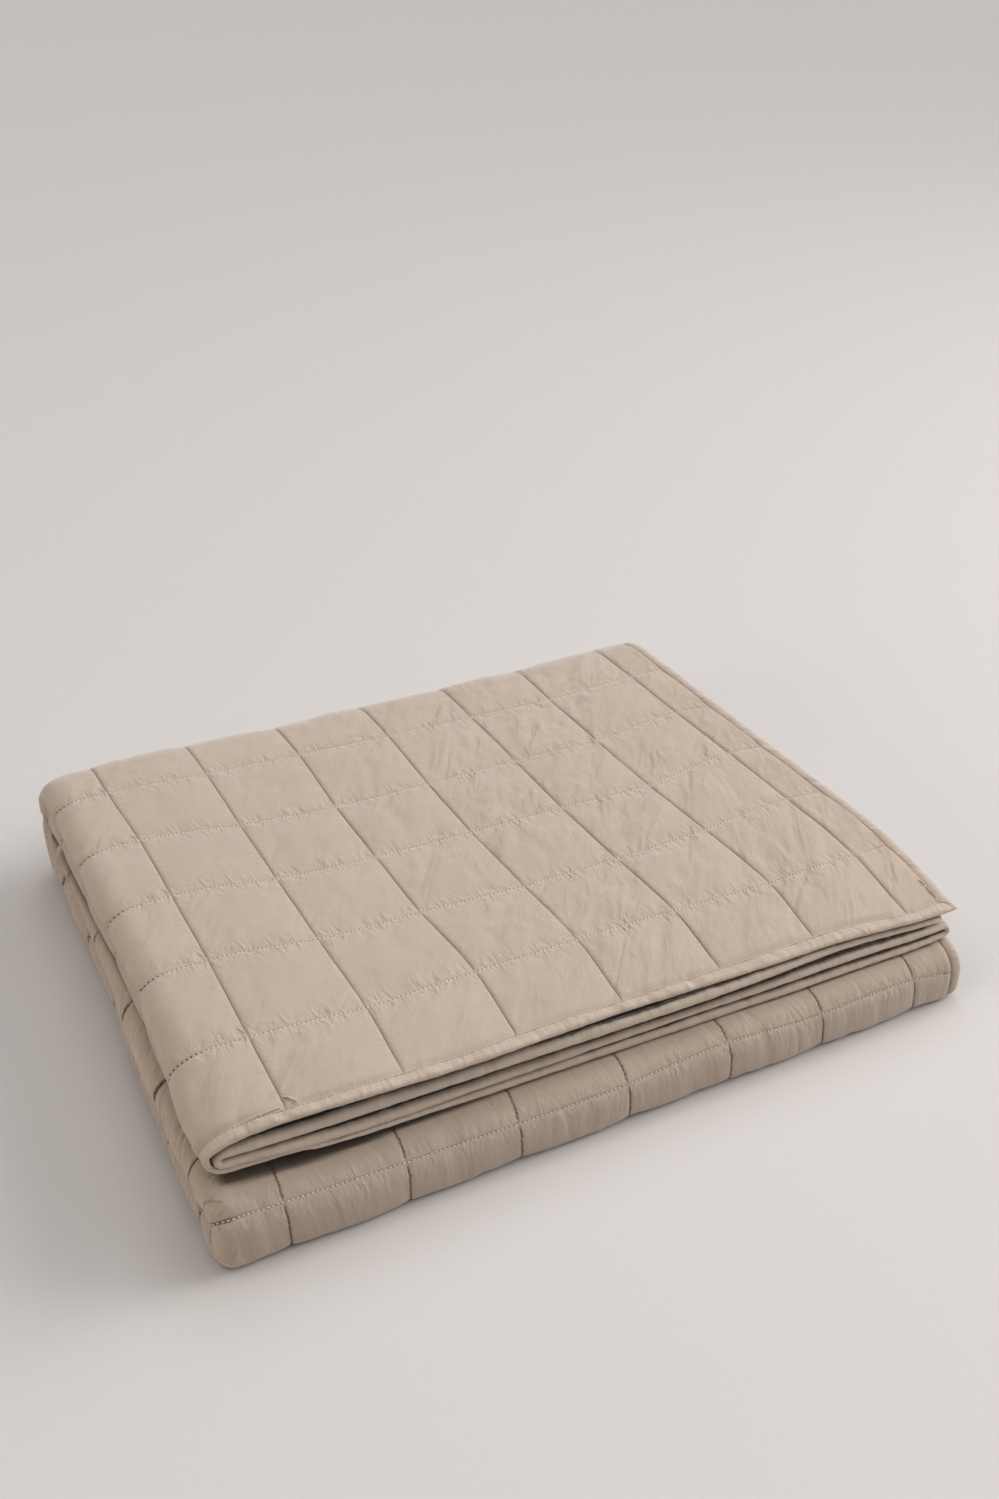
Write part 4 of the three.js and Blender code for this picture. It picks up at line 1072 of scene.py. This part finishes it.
def fabric(name, base, light, dark, quilted_lines=True, weave=1.0, seam_dark=.75):
    m, nt, bsdf = nodes_of(name)
    g = Net(nt)
    at = nt.nodes.new("ShaderNodeAttribute")
    at.attribute_type, at.attribute_name = "GEOMETRY", "cloth"
    sep = nt.nodes.new("ShaderNodeSeparateXYZ")
    nt.links.new(at.outputs["Vector"], sep.inputs[0])
    u, v = sep.outputs[0], sep.outputs[1]
    flat = g.vec(u, v, 0.0)
    # threads: one set along U, one along V, uneven as washed cotton is
    thread = 0.62
    wob = g.noise(flat, .35, 2.0, .6)
    uu = g.math("ADD", u, g.math("MULTIPLY", wob, 1.2))
    vv = g.math("ADD", v, g.math("MULTIPLY", wob, 1.4))
    warp = g.math("SINE", g.math("MULTIPLY", uu, 2 * math.pi / thread))
    weft = g.math("SINE", g.math("MULTIPLY", vv, 2 * math.pi / thread))
    slub_u = g.noise(g.vec(g.math("MULTIPLY", u, 1.5), g.math("MULTIPLY", v, .05), 0.0), 1.0, 2.0, .6)
    slub_v = g.noise(g.vec(g.math("MULTIPLY", u, .05), g.math("MULTIPLY", v, 1.5), 0.0), 1.0, 2.0, .6)
    weave_h = g.math("ADD", g.math("MULTIPLY", warp, weft), g.math("ADD", slub_u, slub_v))
    # colour: broad drift, washed mottling, slubs
    broad = g.noise(flat, .012, 2.0, .5)
    mottle = g.noise(flat, .07, 4.0, .62, .4)
    fine = g.noise(flat, .75, 3.0, .7)
    tone = g.math("ADD", g.math("MULTIPLY", broad, .34), g.math("ADD", g.math("MULTIPLY", mottle, .42), g.math("MULTIPLY", fine, .24)))
    colour = g.mix(g.ramp(tone, .33, .67), dark, light)
    slub = g.math("ADD", g.math("MULTIPLY", slub_u, .5), g.math("MULTIPLY", slub_v, .5))
    colour = g.mix(g.ramp(slub, .3, .7, 0.0, .10), colour, (*[c * .72 for c in base[:3]], 1))
    height = g.math("MULTIPLY", weave_h, .022 * weave)

    # creases of washed cloth, each set of them leaning one way: on the top, and on the lower fold
    def creases(turn, wave, long, seed, sharp=0.0):
        c, w = math.cos(turn), math.sin(turn)
        across = g.math("ADD", g.math("MULTIPLY", u, c / wave), g.math("MULTIPLY", v, w / wave))
        along = g.math("ADD", g.math("MULTIPLY", u, -w / long), g.math("MULTIPLY", v, c / long))
        f = g.noise(g.vec(across, along, seed), 1.0, 2.0, .5, .7)
        soft = g.math("SUBTRACT", f, .5)
        return g.math("SUBTRACT", soft, g.math("MULTIPLY", g.math("ABSOLUTE", soft), sharp))

    on_fold = g.ramp(v, 1010, 1050)
    side_of = g.ramp(u, 250, 430, 1.0, .55)
    top = g.math("MULTIPLY", g.math("ADD", g.math("MULTIPLY", creases(.66, 24, 76, 2.0, .15), 7.2), g.math("MULTIPLY", creases(.45, 10.0, 30, 9.0), 1.7)), side_of)
    fold = g.math("ADD", g.math("MULTIPLY", creases(-.22, 15, 70, 4.0, .5), 3.0), g.math("MULTIPLY", creases(.15, 7.0, 40, 6.0), .7))
    # the folded left sides of the lower runs are the most crumpled
    at_left = g.math("MULTIPLY", g.math("MULTIPLY", g.ramp(u, 592, 606), g.ramp(u, 740, 790, 1.0, 0.0)), g.ramp(v, 470, 520))
    fold = g.math("ADD", fold, g.math("MULTIPLY", g.math("MULTIPLY", creases(.95, 10.0, 32, 12.0, .3), 8.0), at_left))
    top = g.math("ADD", top, g.math("MULTIPLY", g.math("MULTIPLY", creases(.95, 10.0, 32, 12.0, .3), 8.0), at_left))
    patchy = g.ramp(g.noise(flat, .02, 2.0, .5), .36, .62, .45, 1.0)
    height = g.math("ADD", height, g.math("MULTIPLY", g.math("ADD", g.math("MULTIPLY", top, g.math("SUBTRACT", 1.0, on_fold)), g.math("MULTIPLY", fold, on_fold)), patchy))
    small = g.noise(flat, .42, 2.0, .5)
    height = g.math("ADD", height, g.math("MULTIPLY", small, .12))
    if quilted_lines:
        def away(a, first):
            w = g.math("SUBTRACT", a, first - CELL / 2)
            w = g.math("FLOORED_MODULO", w, CELL)
            return g.math("SUBTRACT", w, CELL / 2)

        sl, sr = away(u, FIRST_COLUMN), away(v, FIRST_ROW)
        dl, dr = g.math("ABSOLUTE", sl), g.math("ABSOLUTE", sr)
        at_edge = g.math("MULTIPLY", g.ramp(u, 590, 606), g.ramp(u, 740, 790, 1.0, 0.0))
        on_lower = g.ramp(v, 1000, 1040)
        # a column's line wanders a little, and more on the lower fold, where it is puckered shut
        sway = g.math("SUBTRACT", g.noise(g.vec(g.math("MULTIPLY", v, .34), 0.0, g.math("MULTIPLY", u, .01)), 1.0, 2.0, .6), .5)
        dl = g.math("ABSOLUTE", g.math("ADD", sl, g.math("MULTIPLY", sway, g.math("ADD", .9, g.math("MULTIPLY", on_lower, 2.2)))))
        strong = g.ramp(g.noise(g.vec(g.math("MULTIPLY", v, .03), g.math("MULTIPLY", u, .012), 3.0), 1.0, 2.0, .5), .36, .62, .40, .78)
        strong = g.math("MAXIMUM", g.math("MULTIPLY", strong, g.ramp(u, 300, 480, 1.0, .6)), g.math("MULTIPLY", on_lower, .85))
        near_l = g.math("MULTIPLY", strong, g.ramp(dl, .25, g.math("ADD", .85, g.math("MULTIPLY", on_lower, .4)), 1.0, 0.0))
        at_loops = g.math("MULTIPLY", at_edge, g.math("MULTIPLY", g.ramp(v, 480, 560), g.ramp(g.math("ABSOLUTE", g.math("SUBTRACT", v, FRONT_ROW)), 20, 50, .3, 1.0)))
        near_r = g.math("MAXIMUM", g.ramp(dr, .25, .8, 1.0, 0.0), g.math("MULTIPLY", at_edge, g.ramp(dr, .4, g.math("ADD", 1.4, g.math("MULTIPLY", at_loops, 1.9)), 1.0, 0.0)))
        # needle holes between the stitches, and the shade in the seams; a crossing stays open
        hole_l = g.ramp(g.math("ABSOLUTE", g.math("SUBTRACT", g.math("FLOORED_MODULO", v, STITCH_PITCH), STITCH_PITCH * .5)), STITCH_PITCH * .30, STITCH_PITCH * .42)
        hole_r = g.ramp(g.math("ABSOLUTE", g.math("SUBTRACT", g.math("FLOORED_MODULO", u, STITCH_PITCH), STITCH_PITCH * .5)), STITCH_PITCH * .30, STITCH_PITCH * .42)
        open_l = g.ramp(dr, 1.5, 4.5, .25, 1.0)
        shade = g.math("MAXIMUM", g.math("MULTIPLY", g.math("MULTIPLY", near_l, open_l), g.math("ADD", g.math("MULTIPLY", hole_l, .16), .80)),
                       g.math("MULTIPLY", near_r, g.math("ADD", g.math("ADD", g.math("MULTIPLY", hole_r, .40), .34), g.math("ADD", g.math("MULTIPLY", at_edge, .35), g.math("MULTIPLY", at_loops, .3)))))
        # little slits and pleats, each a run of short lines
        # the pleats' dark is painted shade in their slits
        for u0, v0, u1, v1, w, dark_by in PLEATS:
            du, dv = u1 - u0, v1 - v0
            a, b = g.math("SUBTRACT", u, u0), g.math("SUBTRACT", v, v0)
            t = g.math("DIVIDE", g.math("ADD", g.math("MULTIPLY", a, du), g.math("MULTIPLY", b, dv)), du * du + dv * dv, clamp=True)
            x, y = g.math("SUBTRACT", a, g.math("MULTIPLY", t, du)), g.math("SUBTRACT", b, g.math("MULTIPLY", t, dv))
            d = g.math("SQRT", g.math("ADD", g.math("MULTIPLY", x, x), g.math("MULTIPLY", y, y)))
            here = g.ramp(d, w * .25, w, 1.0, 0.0)
            shade = g.math("MAXIMUM", shade, g.math("MULTIPLY", here, dark_by))
            height = g.math("ADD", height, g.math("MULTIPLY", g.ramp(d, w * .4, w * 3.2, 1.0, 0.0), .7))
        colour = g.mix(shade, colour, (.085, .050, .033, 1))
        # pin tucks the needle draws in, close to the seams
        def tucks(across, along, reach, seed, amount):
            f = g.noise(g.vec(g.math("MULTIPLY", across, .15), g.math("MULTIPLY", along, .05), seed), 1.0, 2.0, .55, .8)
            here = g.ramp(g.noise(g.vec(g.math("MULTIPLY", across, .05), g.math("MULTIPLY", along, .01), seed + 4), 1.0, 1.0, .5), .35, .6, .15, 1.0)
            fall = g.math("MULTIPLY", g.ramp(g.math("ABSOLUTE", along), .6, 4.0, .25, 1.0), g.math("POWER", g.ramp(g.math("ABSOLUTE", along), 1.0, reach, 1.0, 0.0), 1.3))
            return g.math("MULTIPLY", g.math("MULTIPLY", g.math("SUBTRACT", f, .5), g.math("MULTIPLY", fall, here)), g.ramp(on_lower, 0.0, 1.0, amount, amount * .6))

        height = g.math("ADD", height, g.math("ADD", tucks(u, sr, 20.0, 3.0, 5.4), tucks(v, sl, 10.0, 7.0, 2.8)))
    else:
        at_seam = g.ramp(g.math("ABSOLUTE", g.math("SUBTRACT", v, 1.25)), .15, .5, 1.0, 0.0)
        dash = g.ramp(g.math("ABSOLUTE", g.math("SUBTRACT", g.math("FLOORED_MODULO", u, 3.0), 1.5)), .7, 1.1, 1.0, .25)
        # the rolled edge is painted lighter than the rest: a painted highlight where it faces the light
        painted_edge_highlight = g.math("MULTIPLY", g.ramp(g.math("ABSOLUTE", g.math("SUBTRACT", v, 13.1)), 3.0, 9.5, 1.0, 0.0), g.ramp(mottle, .3, .7, .45, .85))
        colour = g.mix(painted_edge_highlight, colour, (.545, .452, .372, 1))
        colour = g.mix(g.math("MULTIPLY", at_seam, g.math("MULTIPLY", dash, seam_dark)), colour, (.060, .034, .022, 1))
        height = g.math("ADD", height, g.math("MULTIPLY", g.noise(g.vec(g.math("MULTIPLY", u, .21), g.math("MULTIPLY", v, .05), 7.0), 1.0, 2.0, .5), 1.6))
    # deep in the folds the cloth sees no light
    colour = g.mix(g.math("MULTIPLY", sep.outputs[2], .86), colour, (.022, .013, .009, 1))
    bump = nt.nodes.new("ShaderNodeBump")
    bump.inputs["Strength"].default_value = .9
    bump.inputs["Distance"].default_value = .001
    nt.links.new(height, bump.inputs["Height"])
    nt.links.new(bump.outputs[0], bsdf.inputs["Normal"])
    nt.links.new(colour, bsdf.inputs["Base Color"])
    rough = g.math("ADD", .86, g.math("MULTIPLY", mottle, .1))
    nt.links.new(rough, bsdf.inputs["Roughness"])
    bsdf.inputs["Specular IOR Level"].default_value = .22
    bsdf.inputs["Sheen Weight"].default_value = .5
    bsdf.inputs["Sheen Roughness"].default_value = .42
    bsdf.inputs["Sheen Tint"].default_value = (1, 1, 1, 1)
    return m


def thread_material(name, colour):
    m, nt, bsdf = nodes_of(name)
    g = Net(nt)
    co = nt.nodes.new("ShaderNodeTexCoord")
    n = g.noise(co.outputs["Object"], 900.0, 2.0, .6)
    broad = g.noise(co.outputs["Object"], 30.0, 2.0, .5)
    c = g.mix(g.ramp(n, .3, .7), (*[q * .86 for q in colour], 1), (*colour, 1))
    c = g.mix(g.ramp(broad, .35, .65, 0.0, .25), c, (*[q * .8 for q in colour], 1))
    nt.links.new(c, bsdf.inputs["Base Color"])
    bump = nt.nodes.new("ShaderNodeBump")
    bump.inputs["Strength"].default_value = .4
    bump.inputs["Distance"].default_value = .0002
    nt.links.new(n, bump.inputs["Height"])
    nt.links.new(bump.outputs[0], bsdf.inputs["Normal"])
    bsdf.inputs["Roughness"].default_value = .7
    bsdf.inputs["Sheen Weight"].default_value = .15
    return m


STITCH_PITCH, STITCH = 3.4, 2.5
# from U, V to U, V, width and how dark
PLEATS = [(563.4, 10.4, 560.2, 8.2, .9, .7), (560.2, 8.2, 557.2, 4.4, .8, .6), (600.0, 3.5, 583.0, 3.7, .7, .55), (583.0, 3.7, 569.0, 4.0, .7, .6),
          (18.2, 28.0, 17.8, 22.5, 1.1, .85), (18.0, 19.5, 18.3, 14.5, 1.0, .8), (18.3, 14.5, 18.0, 8.5, 1.1, .8), (614.0, 1127.0, 608.5, 1123.5, 1.6, .38), (608.5, 1123.5, 603.5, 1119.5, 1.3, .28),
          (616.8, 1100.5, 617.8, 1088.5, 1.8, .8)]
BASE = (.455, .371, .301)
quilt_mat = fabric("quilted_cotton", BASE, (.470, .385, .313, 1), (.440, .357, .289, 1))
bind_mat = fabric("cotton_binding", BASE, (.472, .387, .315, 1), (.442, .359, .291, 1), quilted_lines=False)
side_mat = fabric("cotton_side_binding", BASE, (.472, .387, .315, 1), (.442, .359, .291, 1), quilted_lines=False, seam_dark=.35)
thread_mat = thread_material("cotton_thread", (.80, .745, .68))
dull_thread = thread_material("tan_cotton_thread", (.33, .255, .20))
brown_thread = thread_material("brown_cotton_thread", (.20, .135, .095))

# ------------------------------------------------------------------ the pieces
pts, faces, uv = build_quilt()
quilt = new_mesh("quilted_cloth", pts, faces, [("cloth", "FLOAT_VECTOR", uv)], quilt_mat)
front = end_binding("front_end_binding", False, 3.2, bind_mat)
inside = end_binding("inside_end_binding", True, 3.2, bind_mat)
outer = side_binding("outer_side_binding", True, 3.2, side_mat)
inner = side_binding("inner_side_binding", False, 4.0, bind_mat)

rows_on = [FIRST_ROW + CELL * m for m in range(0, 16)]
long_parts = [seam("column", FIRST_COLUMN + CELL * k, 14.5 if k else 16, 1180, STITCH_PITCH, STITCH, .05) for k in range(0, 8)]
cross_parts = [seam("row", r, 20 if r > 500 else 14, 668 if r < 470 else 648, STITCH_PITCH, STITCH, .12) for r in rows_on if r < 1190]
bind_parts = [bind_seam("front", 12, 668, 3.0, 2.2, 2.0), bind_seam("side", 12, 1185, 3.0, 2.2, 2.0)]


def join_parts(parts):
    return [np.concatenate([p[k] for p in parts]) for k in range(3)]


column_stitches = beads("column_stitches", *join_parts(long_parts), .24, dull_thread)
row_stitches = beads("row_stitches", *join_parts(cross_parts), .40, thread_mat)
binding_stitches = beads("binding_stitches", *join_parts(bind_parts), .22, brown_thread)

for piece in (quilt, front, inside, outer, inner, column_stitches, row_stitches, binding_stitches):
    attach(piece, ROOT)
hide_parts("quilted_sheet")
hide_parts("binding_front_end")
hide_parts("binding_inside_end")
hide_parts("binding_outer_side")
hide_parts("binding_inner_side")

# ------------------------------------------------------------------ floor, light, camera
floor_mesh = bpy.data.meshes.new("floor")
side = 14.0
floor_mesh.from_pydata([(-side, -side, 0), (side, -side, 0), (side, side, 0), (-side, side, 0)], [], [(0, 1, 2, 3)])
floor = bpy.data.objects.new("floor", floor_mesh)
bpy.context.scene.collection.objects.link(floor)
fm, fnt, fb = nodes_of("pale_floor")
fb.inputs["Base Color"].default_value = (.60, .575, .565, 1)
fb.inputs["Roughness"].default_value = .85
fb.inputs["Specular IOR Level"].default_value = .1
floor_mesh.materials.append(fm)

world = bpy.data.worlds.new("studio")
bpy.context.scene.world = world
world.use_nodes = True
world.node_tree.nodes["Background"].inputs[0].default_value = (1.0, 1.0, 1.0, 1)
world.node_tree.nodes["Background"].inputs[1].default_value = .01


def lamp(name, kind, turn_to, high, energy, colour=(1, 1, 1), wide=35.0):
    """A lamp seen from the piece at an azimuth from +X and a height, in degrees."""
    data = bpy.data.lights.new(name, kind)
    data.energy, data.color = energy, colour
    if kind == "SUN":
        data.angle = math.radians(wide)
    else:
        data.shape, data.size = "SQUARE", 2.0
    obj = bpy.data.objects.new(name, data)
    bpy.context.scene.collection.objects.link(obj)
    t, e = math.radians(turn_to), math.radians(high)
    d = Vector((math.cos(t) * math.cos(e), math.sin(t) * math.cos(e), math.sin(e)))
    obj.location = d * 3.2
    obj.rotation_mode = "QUATERNION"
    obj.rotation_quaternion = (-d).to_track_quat("-Z", "Y")
    return obj


lamp("key_low", "SUN", 0, 25, 1.61)
lamp("key_edge", "SUN", 22, 25, .42)
lamp("back_right", "SUN", 62, 55, .80)
lamp("back_left", "SUN", 140, 55, .45)
lamp("left", "SUN", 180, 50, .24, (1, .94, .86))
lamp("left_low", "SUN", 186, 14, .97, (1, .86, .71))
lamp("front", "SUN", -90, 48, .37, (1, .97, .94))
lamp("above", "SUN", 0, 90, .28, wide=50)
lamp("near_right", "AREA", -45, 34, 14.8, (1, .975, .95))
lamp("near_side", "AREA", -15, 34, 33.0, (1, .985, .97))

# The camera, from the quilting's own lines: 1614.9 pixels of focal length on a 999 by 1499 picture.
cam_data = bpy.data.cameras.new("camera")
cam_data.sensor_width = 36.0
cam_data.lens = 1614.9 / 1499 * 36.0
cam_data.clip_start, cam_data.clip_end = .01, 60
cam = bpy.data.objects.new("camera", cam_data)
bpy.context.scene.collection.objects.link(cam)
a, e, roll = math.radians(-27.688), math.radians(30.986), math.radians(.217)
back = np.array([math.sin(a) * math.cos(e), -math.cos(a) * math.cos(e), math.sin(e)])
right = np.array([math.cos(a), math.sin(a), 0.0])
up = np.cross(back, right)
cx, cy = math.cos(roll) * right + math.sin(roll) * up, -math.sin(roll) * right + math.cos(roll) * up
m = Matrix.Identity(4)
for i in range(3):
    m[i][0], m[i][1], m[i][2] = cx[i], cy[i], back[i]
m[0][3], m[1][3], m[2][3] = (-240.18 - SHIFT_X) / 1000, (-824.71 - SHIFT_Y) / 1000, .83448
cam.matrix_world = m
bpy.context.scene.camera = cam
bpy.context.scene.view_settings.view_transform = "Standard"
bpy.context.scene.view_settings.look = "None"
